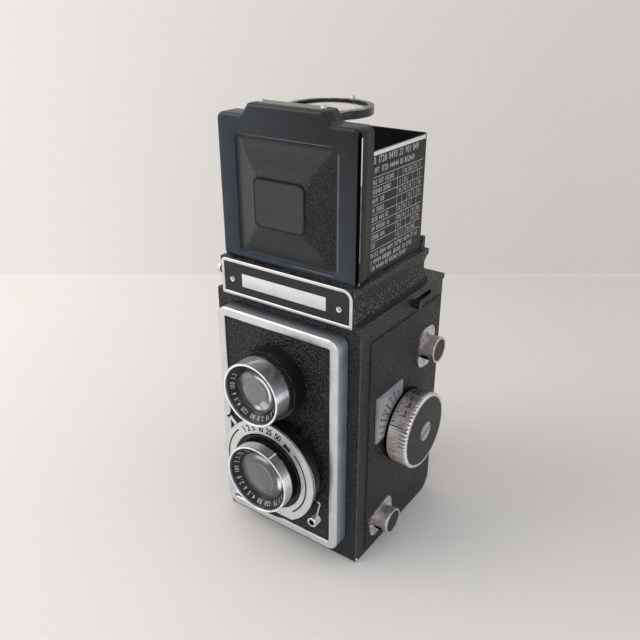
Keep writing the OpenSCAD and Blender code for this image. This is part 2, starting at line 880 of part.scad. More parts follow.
// Half width of the hollow flank's arc, from its height and depth
cove_chord = hood_base_height - hood_lip - hood_foot;
cove_radius = (cove_chord * cove_chord / 4 + hood_cove * hood_cove) / (2 * hood_cove);
module hood_flank(edge) {
  translate([edge + cove_radius - hood_cove, body_height + hood_foot + cove_chord / 2])
    circle(cove_radius);
}

module hood_base() {
  in_frame("#1d1d1d")
    difference() {
      union() {
        difference() {
          intersection() {
            along_y(0, hood_depth)
              difference() {
                translate([-hood_half, body_height])
                  square([hood_width, hood_base_height]);
                hood_flank(hood_half);
                mirror([1, 0])
                  hood_flank(hood_half);
              }
            along_x(-hood_half, hood_half)
              difference() {
                translate([0, body_height])
                  square([hood_depth, hood_base_height]);
                hood_flank(hood_depth);
              }
          }
          box([-hood_half + hood_wall, hood_half - hood_wall], [hood_wall, hood_depth - hood_wall],
            [body_height - cut, hood_top + cut]);
        }
        hood_ears();
      }
      panel_pin_holes();
      for (x = [-name_screw_offset, name_screw_offset])
        rod_y(name_screw / 2, -cut, hood_wall / 2, x, name_screw_z);
      rod_x(catch_radius + run_gap, -body_width, -hood_half + catch_seat, catch_y, catch_z);
    }
}

// Ears on the hood base that carry the pins of the lid and of the panels
ear_low = hood_top - hood_lip;
module hood_ears() {
  both_sides()
    box([tab_top / 2, tab_top / 2 + 2 * ear],
      [lid_pin_y - knuckle + move_gap, lid_pin_y + knuckle], [ear_low, lid_pin_z + knuckle]);
  for (side = [[1, right_pin_z], [-1, left_pin_z]])
    for (y = [[panel_front - move_gap - ear, panel_front - move_gap], [panel_back + move_gap, rear_pin_y]])
      translate([side[0] * panel_pin_offset, 0, 0])
        box([-knuckle, knuckle], y, [ear_low, side[1] + knuckle]);
  both_sides()
    box([rear_half + 2 * move_gap, panel_pin_offset + knuckle],
      [rear_pin_y - knuckle, rear_pin_y + knuckle], [ear_low, rear_pin_z + knuckle]);
}

lid_pin_z = hood_top + right_pin_rise;
rear_half = panel_pin_offset - knuckle - move_gap;
module panel_pin_holes() {
  rod_x(panel_pin, -body_width, body_width, lid_pin_y, lid_pin_z);
  rod_y(panel_pin, 0, rear_pin_y, panel_pin_offset, right_pin_z);
  rod_y(panel_pin, 0, rear_pin_y, -panel_pin_offset, left_pin_z);
  rod_x(panel_pin, -body_width, body_width, rear_pin_y, rear_pin_z);
}

name_screw_z = body_height + hood_base_height / 2 - name_plate_drop;
module name_plate() {
  in_frame("#101011")
    difference() {
      along_y(-name_plate_thick, 0)
        top_round_rect(name_plate_width, body_height - name_plate_drop, hood_top, name_plate_corner);
      for (x = [-name_screw_offset, name_screw_offset])
        rod_y(name_screw / 2, -cut, cut, x, name_screw_z);
    }
}

module name_plate_screws() {
  head = name_screw / 3;
  in_frame("#c8c8c8")
    for (x = [-name_screw_offset, name_screw_offset])
      difference() {
        union() {
          rod_y(name_screw, -name_plate_thick - head, -name_plate_thick, x, name_screw_z);
          rod_y(name_screw / 2, -name_plate_thick, hood_wall / 2, x, name_screw_z);
        }
        translate([x, -name_plate_thick - head, name_screw_z])
          cube([3 * name_screw, head, head / 2], center = true);
      }
}

catch_y = hood_wall * 2;
catch_z = body_height + hood_foot + cove_chord / 2;
catch_seat = hood_wall - move_gap;
module hood_catch() {
  in_frame("#cfd1d2")
    rod_x(catch_radius, -hood_half - catch_travel * 2, -hood_half + catch_seat - catch_travel, catch_y,
      catch_z);
}

// Front outline of the lid with its tab, drawn in X and Z
module lid_outline(inset, low) {
  round_rect(lid_width - 2 * inset, low, lid_high - inset, lid_corner - inset);
  polygon([
    [-tab_foot / 2 + inset, lid_high - lid_corner], [tab_foot / 2 - inset, lid_high - lid_corner],
    [tab_foot / 2 - inset, lid_high], [tab_top / 2 - inset, tab_high - inset],
    [-tab_top / 2 + inset, tab_high - inset], [-tab_foot / 2 + inset, lid_high]
  ]);
}

// The raised part of the lid between two stations along Y
raised_half = lid_panel / 2 - lid_panel_margin;
module lid_raise(shift) {
  crown = lid_front - lid_rise + shift;
  foot = lid_panel_face + shift;
  crown_x = centre_plate_width / 2 + lid_panel_margin / 2;
  crown_z = centre_plate_height / 2 + lid_panel_margin / 2;
  intersection() {
    along_x(-lid_panel, lid_panel)
      translate([0, lid_panel_middle])
        polygon([[crown, -crown_z], [foot, -raised_half], [foot, raised_half], [crown, crown_z]]);
    translate([0, 0, hood_top])
      linear_extrude(2 * lid_height)
        polygon([[-crown_x, crown], [-raised_half, foot], [raised_half, foot], [crown_x, crown]]);
  }
}

module hood_lid() {
  panel_half = lid_panel / 2;
  in_frame("#20242c") {
    difference() {
      union() {
        difference() {
          along_y(lid_front, lid_back)
            lid_outline(0, lid_low);
          along_y(lid_front + lid_sheet, lid_back + cut)
            lid_outline(lid_sheet, lid_low - lid_corner * 2);
          box([-panel_half, panel_half], [0, lid_front + lid_sheet + cut],
            [lid_panel_middle - panel_half, lid_panel_middle + panel_half]);
        }
        box([-panel_half, panel_half], [lid_panel_face, lid_panel_face + lid_sheet],
          [lid_panel_middle - panel_half, lid_panel_middle + panel_half]);
        lid_raise(0);
        magnifier_ears();
      }
      lid_raise(lid_sheet);
      rod_x(panel_pin, -body_width, body_width, lid_pin_y, lid_pin_z);
      rod_x(panel_pin, -body_width, body_width, magnifier_pin_y, magnifier_pin_z);
    }
    for (x = [-1, 1])
      translate([x * tab_top / 2 - x * lid_flange / 3, magnifier_pin_y, tab_high])
        cylinder(r = knuckle, h = knuckle);
  }
}

// Ears inside the tab that carry the magnifier's pin
ear_outer = tab_top / 2 - lid_sheet;
module magnifier_ears() {
  both_sides()
    box([ear_outer - ear, ear_outer], [magnifier_pin_y - knuckle, lid_back],
      [magnifier_pin_z - knuckle, tab_high - lid_sheet]);
}

module lid_centre_plate() {
  face = lid_front - lid_rise;
  in_frame("#1b1d22")
    along_y(face - centre_plate_thick, face)
      round_rect(centre_plate_width, lid_panel_middle - centre_plate_height / 2,
        lid_panel_middle + centre_plate_height / 2, lid_corner);
}

module hood_pins() {
  pin_front = panel_front - move_gap - ear;
  in_frame("#c4c6c8") {
    rod_x(panel_pin, -lid_width / 2, lid_width / 2, lid_pin_y, lid_pin_z);
    rod_y(panel_pin, pin_front, rear_pin_y, panel_pin_offset, right_pin_z);
    rod_y(panel_pin, pin_front, rear_pin_y, -panel_pin_offset, left_pin_z);
    rod_x(panel_pin, -panel_pin_offset, panel_pin_offset, rear_pin_y, rear_pin_z);
    rod_x(panel_pin, -ear_outer, ear_outer, magnifier_pin_y, magnifier_pin_z);
  }
}

module side_panel(x, z) {
  difference() {
    union() {
      rod_y(knuckle, panel_front, panel_back, x, z);
      box([x - panel_thick / 2, x + panel_thick / 2], [panel_front, panel_back], [z, panel_high]);
    }
    rod_y(panel_pin + run_gap, 0, body_depth, x, z);
  }
}

module hood_left_panel() {
  in_frame("#141415")
    side_panel(-panel_pin_offset, left_pin_z);
}

module hood_right_panel() {
  in_frame("#141415")
    side_panel(panel_pin_offset, right_pin_z);
}

module hood_rear_panel() {
  in_frame("#141415")
    difference() {
      union() {
        rod_x(knuckle, -rear_half, rear_half, rear_pin_y, rear_pin_z);
        box([-rear_half, rear_half], [rear_pin_y - panel_thick / 2, rear_pin_y + panel_thick / 2],
          [rear_pin_z, panel_high]);
      }
      rod_x(panel_pin + run_gap, -body_width, body_width, rear_pin_y, rear_pin_z);
    }
}

magnifier_glass_radius = magnifier_radius - magnifier_wall;
module magnifier_frame() {
  knuckle_half = ear_outer - ear - move_gap;
  low = magnifier_top - magnifier_thick;
  in_frame("#2b2c2e")
    difference() {
      union() {
        translate([0, magnifier_y, low])
          cylinder(r = magnifier_radius, h = magnifier_thick);
        translate([0, magnifier_y + magnifier_radius - knuckle, magnifier_top])
          cylinder(r = knuckle, h = knuckle);
        rod_x(magnifier_knuckle, -knuckle_half, knuckle_half, magnifier_pin_y, magnifier_pin_z);
        box([-knuckle_half, knuckle_half], [magnifier_pin_y, magnifier_y],
          [magnifier_top - magnifier_knuckle, magnifier_top]);
      }
      translate([0, magnifier_y, low - cut])
        cylinder(r = magnifier_glass_radius, h = magnifier_thick + 2 * cut);
      rod_x(panel_pin + run_gap, -body_width, body_width, magnifier_pin_y, magnifier_pin_z);
    }
}

module magnifier_lens() {
  curve = 2 * magnifier_radius;
  low = magnifier_top - magnifier_thick;
  in_frame("#e4ecec")
    intersection() {
      translate([0, magnifier_y, low])
        cylinder(r = magnifier_glass_radius, h = magnifier_thick);
      translate([0, magnifier_y, magnifier_top - curve])
        sphere(curve);
    }
}

// Front outline of the lens board, moved in, with less rounded corners
module board_outline(inset, less) {
  round_rect(board_width - 2 * inset, board_low + inset, board_high - inset, board_corner - less);
}

module board_frame() {
  in_frame("#c3c7ca")
    difference() {
      along_y(board_front, -move_gap)
        board_outline(0, 0);
      along_y(band_back, cut)
        board_outline(board_metal, board_metal);
      along_y(board_front - cut, cut)
        board_outline(board_band, board_metal * 2);
    }
}

module lens_board() {
  in_frame("#1a1a1a")
    difference() {
      union() {
        along_y(band_back, plate_back)
          board_outline(board_metal, board_metal);
        difference() {
          box([-skirt_half, skirt_half], [plate_back, skirt_reach], [skirt_low, skirt_high]);
          box([-skirt_half + skirt_wall, skirt_half - skirt_wall], [plate_back, skirt_reach + cut],
            [skirt_low + skirt_wall, skirt_high - skirt_wall]);
        }
      }
      view_bore(view_tube);
      take_bore(shutter_tube);
      rod_set(rod_radius, band_back, plate_back + cut);
    }
}

module board_leather() {
  in_frame("#1f1f1f")
    difference() {
      along_y(leather_face, band_back)
        board_outline(board_band, board_metal * 2);
      view_bore(view_tube);
      take_bore(shutter_tube);
    }
}

module guide_rods() {
  in_frame("#b9bcc0")
    rod_set(rod_radius, band_back, skirt_reach);
}

// One rack tooth, drawn in Y and Z about its own middle, pointing down from the pitch line
module rack_tooth() {
  flank = tan(pressure_angle);
  half = (tooth_pitch - gear_play) / 4;
  polygon([
    [-half - tooth_root * flank, tooth_root], [-half + tooth_tip * flank, -tooth_tip],
    [half - tooth_tip * flank, -tooth_tip], [half + tooth_root * flank, tooth_root]
  ]);
}

module focus_rack() {
  low = rack_pitch_z + tooth_root;
  tail = knob_y + focus_travel + 3 * tooth_pitch;
  inner = skirt_half - skirt_wall;
  in_frame("#b59a55") {
    box([inner - rack_width, inner], [plate_back, rack_lug_front], [low, low + rack_bar_height]);
    box([inner - rack_width, rack_offset + rack_width], [rack_lug_front, rack_lug_front + rack_width / 2],
      [low, low + rack_bar_height]);
    box([rack_offset, rack_offset + rack_width], [rack_lug_front, tail], [low, low + rack_bar_height]);
    along_x(rack_offset, rack_offset + rack_width)
      for (i = [-2:round(focus_travel / tooth_pitch) + 1])
        translate([knob_y + (i + 0.5) * tooth_pitch, rack_pitch_z])
          rack_tooth();
  }
}

// Glass element with a bulged front, between two stations along Y
module glass_element(radius, front, back, z) {
  curve = 3 * radius;
  intersection() {
    rod_y(radius, front, back, 0, z);
    translate([0, front + curve, z])
      sphere(curve);
  }
}

view_seat = -view_rim_front + face_thick * 5;
module viewing_lens_mount() {
  in_frame("#121212")
    difference() {
      union() {
        view_rod(view_base, -view_base_front, leather_face);
        view_rod(view_rim_radius - view_rim_wall, -view_rim_front + face_thick, -view_base_front);
        view_rod(view_tube, leather_face, plate_back + face_thick);
      }
      view_bore(view_glass - face_thick);
      view_rod(view_glass, view_seat - face_thick * 2, view_seat + face_thick);
      cone_y(view_rim_radius - view_rim_wall - move_gap, view_glass, -view_rim_front + face_thick,
        view_seat - face_thick, view_z);
      view_rod(view_glass, plate_back - face_thick, body_depth);
    }
}

module viewing_lens_rim() {
  in_frame("#cfd2d4")
    difference() {
      view_rod(view_rim_radius, -view_rim_front, -view_base_front);
      view_bore(view_rim_radius - view_rim_wall);
    }
}

module viewing_lens_glass() {
  in_frame("#bcd0d8") {
    glass_element(view_glass, view_seat - face_thick, view_seat + face_thick, view_z);
    view_rod(view_glass, plate_back - face_thick, plate_back + face_thick);
  }
}

shutter_tube = passage + face_thick * 2;
module shutter_housing() {
  in_frame("#101010")
    difference() {
      union() {
        take_rod(drum_radius, -shutter_front, drum_back);
        take_rod(shutter_foot, drum_back, leather_face);
        take_rod(shutter_tube, leather_face, plate_back + face_thick);
      }
      difference() {
        take_rod(drum_radius - shutter_rim, -shutter_front - cut, cavity_back);
        take_rod(sleeve_radius, -shutter_front - 2 * cut, cavity_back + cut);
      }
      take_rod(take_tail, -shutter_front - cut, drum_back);
      take_rod(passage, -shutter_front, body_depth);
      lever_slot(0, cocking_angle, cocking_angle + cocking_turn);
      lever_slot(2, release_angle + release_sweep - release_turn, release_angle + release_sweep);
      lever_slot(1, aperture_angle, aperture_angle + aperture_turn);
    }
}

// Station of a lever ring's front, counted from the face
function lever_y(i) = -shutter_front + i * lever_pitch + (lever_pitch - lever_thick) / 2;

// Slot through the drum's rim, from one direction to another with room for the arm
module lever_slot(i, from, to) {
  room = asin((lever_width / 2 + move_gap) / (drum_radius - shutter_rim));
  slot_gap = (lever_pitch - lever_thick) / 2;
  translate([0, 0, take_z])
    along_y(lever_y(i) - slot_gap, lever_y(i) + lever_thick + slot_gap)
      difference() {
        slice(drum_radius, from - room, to + room);
        circle(sleeve_radius + cut);
      }
}

module lever_ring(i) {
  difference() {
    take_rod(lever_outer, lever_y(i), lever_y(i) + lever_thick);
    take_bore(lever_inner);
  }
}

// Arm that stands out of a lever ring in one direction
module lever_arm(i, angle, reach) {
  translate([0, lever_y(i), take_z])
    rotate([0, -angle, 0])
      box([lever_inner + cut, reach], [0, lever_thick], [-lever_width / 2, lever_width / 2]);
}

// Lever with its ring, its arm and a finger post at the arm's end
module post_lever(i, angle, reach) {
  tip = reach - lever_width / 2;
  in_frame("#d0d2d3") {
    lever_ring(i);
    lever_arm(i, angle, reach);
    rod_y(lever_width / 2, lever_y(i) - lever_width, lever_y(i) + lever_thick,
      tip * cos(angle), take_z + tip * sin(angle));
  }
}

module cocking_lever() {
  post_lever(0, cocking_angle, cocking_reach);
}

// The release lever's arm leaves the drum above its round end, and a thin bar runs down to that end
release_sweep = 18;
module release_lever() {
  elbow_angle = release_angle + release_sweep;
  elbow_reach = drum_radius + lever_width;
  elbow = elbow_reach * [cos(elbow_angle), sin(elbow_angle)];
  tip = release_reach * [cos(release_angle), sin(release_angle)];
  bar = tip - elbow;
  bar_half = lever_width / 6;
  front = lever_y(2);
  in_frame("#d0d2d3") {
    lever_ring(2);
    lever_arm(2, elbow_angle, elbow_reach + bar_half);
    translate([elbow[0], front, take_z + elbow[1]])
      rotate([0, -atan2(bar[1], bar[0]), 0])
        box([-bar_half, norm(bar)], [0, lever_thick], [-bar_half, bar_half]);
    difference() {
      rod_y(release_tip, front - lever_width * 1.6, front + lever_thick, tip[0], take_z + tip[1]);
      rod_y(release_tip / 2, front - lever_width * 3, front, tip[0], take_z + tip[1]);
    }
  }
}

module aperture_lever() {
  post_lever(1, aperture_angle, aperture_reach);
}

module shutter_blades() {
  blade_count = 5;
  in_frame("#3a3c3f")
    difference() {
      take_rod(take_tail - move_gap / 2, tail_back, drum_back);
      translate([0, 0, take_z])
        along_y(tail_back - cut, drum_back + cut)
          circle(take_glass / 2, $fn = blade_count);
    }
}

// Silver ring on the shutter's front, cut flat at the bottom, with a small square window at the top right
module shutter_face() {
  window_angle = 56;
  in_frame("#d7dadb")
    difference() {
      take_rod(face_radius, -shutter_front - face_thick, -shutter_front);
      take_bore(face_inner);
      box([-body_width, body_width], [-body_depth, body_depth], [0, take_z - face_flat]);
      translate([0, 0, take_z])
        rotate([0, -window_angle, 0])
          box(face_inner * [1, 1] + lever_width * [0.25, 1.6],
            [-body_depth, -shutter_front - face_thick / 2], [-lever_width, lever_width]);
    }
}

// Ring round the barrel that sets the speed, with a finger tab that passes over the face ring
module speed_ring() {
  speed_tab_angle = 190;
  back = -shutter_front - move_gap;
  front = back - speed_ring_thick;
  in_frame("#151515")
    difference() {
      union() {
        take_rod(speed_radius, front, back);
        translate([0, front, take_z])
          rotate([0, -speed_tab_angle, 0])
            box([take_barrel, face_inner + lever_width], [0, back - front - face_thick + move_gap / 2],
              [-lever_width / 2, lever_width / 2]);
      }
      take_bore(take_barrel + run_gap);
    }
}

take_rim_back = -take_rim_front + take_rim_length;
take_seat = -take_rim_front + face_thick * 5;
module taking_lens_barrel() {
  neck_back = -shutter_front;
  liner = take_rim_radius - face_thick;
  in_frame("#121212")
    difference() {
      union() {
        take_rod(liner, -take_rim_front + face_thick, take_rim_back);
        take_rod(take_barrel, take_rim_back, neck_back);
        take_rod(take_tail, neck_back, tail_back);
      }
      take_bore(take_glass - face_thick);
      take_rod(take_glass, take_seat - face_thick * 2, take_seat + face_thick);
      cone_y(liner - move_gap, take_glass, -take_rim_front + face_thick, take_seat - face_thick, take_z);
    }
}

module taking_lens_rim() {
  in_frame("#cfd2d4")
    difference() {
      take_rod(take_rim_radius, -take_rim_front, take_rim_back);
      take_bore(take_rim_radius - face_thick);
    }
}

module taking_lens_glass() {
  in_frame("#bcd0d8") {
    glass_element(take_glass, take_seat - face_thick, take_seat + face_thick, take_z);
    take_rod(passage, plate_back - face_thick, plate_back + face_thick);
  }
}

module focus_knob() {
  rim_start = knob_end - knurl_length;
  in_frame("#c7c6c0")
    difference() {
      union() {
        rod_x(knob_barrel_radius, knob_base, rim_start, knob_y, knob_z);
        translate([0, knob_y, knob_z])
          along_x(rim_start, knob_end)
            polygon(knurl(knob_radius, knurl_depth, knurl_count));
      }
      rod_x(knob_face_radius, knob_end - face_thick, knob_end + cut, knob_y, knob_z);
      rod_x(shaft_radius, 0, knob_end, knob_y, knob_z);
    }
}

module focus_knob_face() {
  in_frame("#171717")
    difference() {
      rod_x(knob_face_radius, knob_end - face_thick, knob_end, knob_y, knob_z);
      rod_x(knob_screw_radius, 0, body_width, knob_y, knob_z);
    }
}

screw_slot_turn = 20;
module focus_knob_screw() {
  head_end = knob_end + face_thick / 2;
  in_frame("#cdcdca")
    difference() {
      rod_x(knob_screw_radius, knob_end - face_thick, head_end, knob_y, knob_z);
      translate([head_end, knob_y, knob_z])
        rotate([screw_slot_turn, 0, 0])
          cube([face_thick, 3 * knob_screw_radius, knob_screw_radius / 4], center = true);
    }
}

function involute(angle) = tan(angle) - angle * PI / 180;

// Half angle of a pinion tooth at a radius
function tooth_half(radius) =
  90 / pinion_teeth - gear_play / 4 / pitch_radius * 180 / PI
  + (involute(pressure_angle) - involute(acos(min(1, base_radius / radius)))) * 180 / PI;

// Radii at which a tooth's flank is drawn, from its root to its tip
flank_radii = concat(
  [pitch_radius - tooth_root],
  [for (i = [0:4]) base_radius + (pitch_radius + tooth_tip - base_radius) * i / 4]
);

function pinion_outline() = [
  for (k = [0:pinion_teeth - 1])
    let (middle = 90 + k * 360 / pinion_teeth, last = len(flank_radii) - 1)
      for (i = [0:2 * last + 1])
        let (
          radius = flank_radii[i <= last ? i : 2 * last + 1 - i],
          turn = tooth_half(max(radius, base_radius)) * (i <= last ? -1 : 1)
        )
          radius * [cos(middle + turn), sin(middle + turn)]
];

module focus_shaft() {
  pinion_end = rack_offset + rack_width;
  in_frame("#b7a468") {
    translate([0, knob_y, knob_z])
      along_x(rack_offset, pinion_end)
        polygon(pinion_outline());
    rod_x(shaft_radius, pinion_end + move_gap, knob_end - face_thick, knob_y, knob_z);
    rod_x(pitch_radius - tooth_root, rack_offset, pinion_end + cut, knob_y, knob_z);
  }
}

module depth_scale_plate() {
  in_frame("#d4d5d2")
    difference() {
      box([side_face, plate_face], [scale_plate_front, scale_plate_front + scale_plate_width],
        [scale_plate_low, scale_plate_low + scale_plate_height]);
      rod_x(shaft_radius + move_gap, 0, body_width, knob_y, knob_z);
    }
}

// Spool knob with its shaft through the side wall and the pin that holds the spool's end
module spool_knob(y, z) {
  base = plate_face + seat_gap;
  knob_tip = base + spool_knob_length;
  pin_start = spool_length / 2 - spool_knob_travel + spool_hole_depth / 3;
  difference() {
    union() {
      rod_x(spool_knob_r - seat_gap * 3, base, knob_tip - spool_knob_length / 3, y, z);
      rod_x(spool_knob_r, knob_tip - spool_knob_length / 3, knob_tip, y, z);
      rod_x(spool_shaft, pin_start, base, y, z);
      rod_x(spool_pin_radius, pin_start, inner_half - spool_knob_travel - seat_gap, y, z);
    }
    rod_x(spool_knob_r - face_thick, knob_tip - face_thick / 2, knob_tip + cut, y, z);
  }
}

module upper_spool_knob() {
  in_frame("#c3c5c6")
    spool_knob(upper_spool_y, upper_spool_z);
}

module lower_spool_knob() {
  in_frame("#c3c5c6")
    spool_knob(lower_spool_y, lower_spool_z);
}

// Oval plate with its length along Z, turned about the knob's axis
module knob_plate(y, z, turn) {
  difference() {
    translate([0, y, z])
      rotate([turn, 0, 0])
        along_x(side_face, plate_face)
          difference() {
            round_rect(knob_plate_width, -knob_plate_length / 2, knob_plate_length / 2,
              knob_plate_corner);
            for (side = [-rivet_offset, rivet_offset])
              translate([0, side])
                circle(rivet_radius / 2);
          }
    rod_x(spool_shaft + run_gap, 0, body_width, y, z);
  }
}

upper_plate_turn = -8;
lower_plate_turn = -80;
module knob_plates() {
  in_frame("#bfc1c2") {
    knob_plate(upper_spool_y, upper_spool_z, upper_plate_turn);
    knob_plate(lower_spool_y, lower_spool_z, lower_plate_turn);
  }
}

module rivet_pair(y, z, turn) {
  translate([0, y, z])
    rotate([turn, 0, 0])
      for (side = [-rivet_offset, rivet_offset]) {
        rod_x(rivet_radius / 2, side_face, plate_face, 0, side);
        rod_x(rivet_radius, plate_face, plate_face + rivet_radius / 2, 0, side);
      }
}

module plate_rivets() {
  in_frame("#b0b2b3") {
    rivet_pair(upper_spool_y, upper_spool_z, upper_plate_turn);
    rivet_pair(lower_spool_y, lower_spool_z, lower_plate_turn);
  }
}

key_width = spool_core_radius * 1.6;
key_thick = spool_flange_thick * 1.4;
key_start = -spool_length / 2 - move_gap;
module winding_knob() {
  base = side_face + move_gap;
  tip = base + winding_knob_length;
  in_frame("#c3c3bf") {
    translate([0, upper_spool_y, upper_spool_z])
      along_x(-tip, -base)
        polygon(knurl(winding_knob_radius, knurl_depth, knurl_count));
    rod_x(shaft_radius, -base, key_start, upper_spool_y, upper_spool_z);
    box([key_start, key_start + spool_hole_depth / 2],
      [upper_spool_y - key_width / 2, upper_spool_y + key_width / 2],
      [upper_spool_z - key_thick / 2, upper_spool_z + key_thick / 2]);
  }
}

module spool(y, z) {
  half = spool_length / 2;
  difference() {
    union() {
      rod_x(spool_core_radius, -half, half, y, z);
      both_sides()
        rod_x(spool_flange, half - spool_flange_thick, half, y, z);
    }
    both_sides()
      rod_x(spool_hole_radius, half - spool_hole_depth, half + cut, y, z);
    box([-half - cut, -half + spool_hole_depth],
      [y - key_width / 2 - move_gap, y + key_width / 2 + move_gap],
      [z - key_thick / 2 - move_gap, z + key_thick / 2 + move_gap]);
  }
}

module take_up_spool() {
  in_frame("#26272a")
    spool(upper_spool_y, upper_spool_z);
}

module supply_spool() {
  in_frame("#26272a")
    spool(lower_spool_y, lower_spool_z);
}

module supply_pivot() {
  in_frame("#b9bbbd") {
    rod_x(spool_hole_radius * 1.5, -inner_half, -spool_length / 2 - move_gap, lower_spool_y, lower_spool_z);
    rod_x(spool_pin_radius, -inner_half, -spool_length / 2 + spool_hole_depth / 2, lower_spool_y,
      lower_spool_z);
  }
}

// The door's back and bottom in one bent sheet, with its lip, light seal flanges and hinge knuckles
module back_door() {
  flange_outer = inner_half - move_gap;
  in_frame("#1b1b1c")
    difference() {
      union() {
        intersection() {
          along_x(-half_width, half_width)
            difference() {
              body_profile(0);
              body_profile(door_wall);
            }
          box([-body_width, body_width], [hinge_room, body_depth + cut], [-cut, body_height + cut]);
        }
        box([-half_width, half_width], [body_depth - door_wall, body_depth + door_lip_depth],
          [body_height - door_lip_height, body_height]);
        both_sides()
          along_x(flange_outer - door_flange_thick, flange_outer)
            intersection() {
              difference() {
                body_profile(door_wall / 2);
                body_profile(door_wall + door_flange_depth);
              }
              translate([hinge_room + move_gap, 0])
                square([body_depth, top_inner - move_gap]);
            }
        for (i = [1:2:knuckle_count - 2]) {
          rod_x(hinge_radius, knuckle_from(i), knuckle_to(i), hinge_radius, hinge_radius);
          box([knuckle_from(i), knuckle_to(i)], [hinge_radius, hinge_room + door_wall], [0, hinge_radius]);
        }
      }
      rod_x(hinge_pin_radius + run_gap, -body_width, body_width, hinge_radius, hinge_radius);
      translate([0, socket_y, -cut])
        cylinder(r = socket_boss + move_gap, h = door_wall + 2 * cut);
      rod_y(window_radius, body_depth - door_wall - cut, body_depth + cut, 0, window_height);
      rod_y(window_pivot_radius, body_depth - door_wall / 2, body_depth + cut, window_pivot_x,
        window_height);
    }
}

plate_start = film_plane + film_channel;
module pressure_plate() {
  plate_end = plate_start + pressure_plate_thick;
  spring_foot = body_depth - door_wall;
  half = gate_half + gate_post;
  in_frame("#b4b7ba")
    difference() {
      union() {
        box([-half, half], [plate_start, plate_end], [take_z - half, take_z + half]);
        for (z = [take_z - gate_half / 2, take_z + gate_half / 2])
          rod_y(gate_post, plate_end, spring_foot, 0, z);
      }
      rod_y(window_radius, 0, body_depth, 0, window_height);
    }
}

module red_window() {
  in_frame("#7c1510")
    rod_y(window_radius, body_depth - door_wall, body_depth, 0, window_height);
}

module red_window_cover() {
  back = body_depth + window_cover_thick;
  reach = window_radius + cut;
  in_frame("#2a2a2b") {
    along_y(body_depth + seat_gap, back)
      translate([0, window_height]) {
        circle(reach);
        translate([0, -reach / 2])
          square([window_pivot_x, reach]);
        translate([window_pivot_x, 0])
          circle(reach / 2);
      }
    rod_y(window_pivot_radius - run_gap, body_depth - door_wall / 2 + run_gap, back, window_pivot_x,
      window_height);
  }
}

module back_latch() {
  bar_half = latch_bar_length / 2;
  knob_start = half_width + move_gap;
  bar_x = inner_half - move_gap;
  in_frame("#1e1e1e") {
    rod_x(latch_stem, bar_x - door_flange_thick, knob_start, latch_start, latch_z);
    rod_x(latch_knob_radius, knob_start, knob_start + latch_knob_length, latch_start, latch_z);
    box([bar_x - door_flange_thick, bar_x], [latch_start - bar_half, latch_start + bar_half],
      [latch_z - latch_knob_radius, latch_z + latch_knob_radius]);
  }
}

module door_hinge_pin() {
  in_frame("#c4c6c8")
    rod_x(hinge_pin_radius, -half_width, half_width, hinge_radius, hinge_radius);
}

// Cross bar between the side walls with the boss that reaches through the door's bottom
module tripod_socket() {
  top = bridge_height + bridge_thick;
  in_frame("#bfc2c4")
    difference() {
      union() {
        box([-inner_half, inner_half], [socket_y - bridge_depth / 2,
          socket_y + bridge_depth / 2], [bridge_height, top]);
        translate([0, socket_y, 0])
          cylinder(r = socket_boss, h = top);
      }
      translate([0, socket_y, -cut])
        cylinder(r = socket_bore_radius, h = socket_depth + cut);
    }
}

body_shell();
body_leathers();
mirror_box();
reflex_mirror();
light_tunnel();
film_gate();
upper_film_roller();
lower_film_roller();
focusing_screen();
screen_frame();
hood_base();
name_plate();
name_plate_screws();
hood_lid();
lid_centre_plate();
hood_pins();
hood_left_panel();
hood_right_panel();
hood_rear_panel();
magnifier_frame();
magnifier_lens();
hood_catch();
board_frame();
lens_board();
board_leather();
guide_rods();
focus_rack();
viewing_lens_mount();
viewing_lens_rim();
viewing_lens_glass();
shutter_housing();
shutter_face();
speed_ring();
cocking_lever();
release_lever();
aperture_lever();
shutter_blades();
taking_lens_barrel();
taking_lens_rim();
taking_lens_glass();
focus_knob();
focus_knob_face();
focus_knob_screw();
focus_shaft();
depth_scale_plate();
upper_spool_knob();
lower_spool_knob();
knob_plates();
plate_rivets();
winding_knob();
take_up_spool();
supply_spool();
supply_pivot();
back_door();
pressure_plate();
red_window();
red_window_cover();
back_latch();
door_hinge_pin();
tripod_socket();
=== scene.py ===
import bpy
import bmesh
import math
from mathutils import Matrix, Vector


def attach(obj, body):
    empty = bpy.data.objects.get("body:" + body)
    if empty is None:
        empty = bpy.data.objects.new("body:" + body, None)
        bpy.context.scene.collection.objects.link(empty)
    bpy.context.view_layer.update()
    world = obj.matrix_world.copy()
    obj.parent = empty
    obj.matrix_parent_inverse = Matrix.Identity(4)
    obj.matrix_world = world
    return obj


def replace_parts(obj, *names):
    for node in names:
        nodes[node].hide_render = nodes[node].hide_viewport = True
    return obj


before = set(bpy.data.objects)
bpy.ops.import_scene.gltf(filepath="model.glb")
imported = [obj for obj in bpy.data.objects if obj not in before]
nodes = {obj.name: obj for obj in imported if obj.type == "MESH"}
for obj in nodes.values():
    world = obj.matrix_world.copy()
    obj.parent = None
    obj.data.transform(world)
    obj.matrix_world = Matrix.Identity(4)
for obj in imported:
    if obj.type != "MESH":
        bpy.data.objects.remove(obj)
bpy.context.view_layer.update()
scene = bpy.context.scene
scene.view_settings.view_transform = "Standard"
print("frame loaded:", len(nodes), "nodes")

socketBack = 45.0  # the body's front face stands this far ahead of the origin, in mm
viewAxis = 90.3  # heights of the two lens axes
takeAxis = 46.2


def spot(x, y, z):  # millimetres from the body's front edge to metres in the frame
    return Vector((x, y - socketBack, z)) * 0.001


def around(degrees):  # cosine and sine of a direction
    return math.cos(math.radians(degrees)), math.sin(math.radians(degrees))


def circle(steps):
    return [around(360 * k / steps) for k in range(steps)]


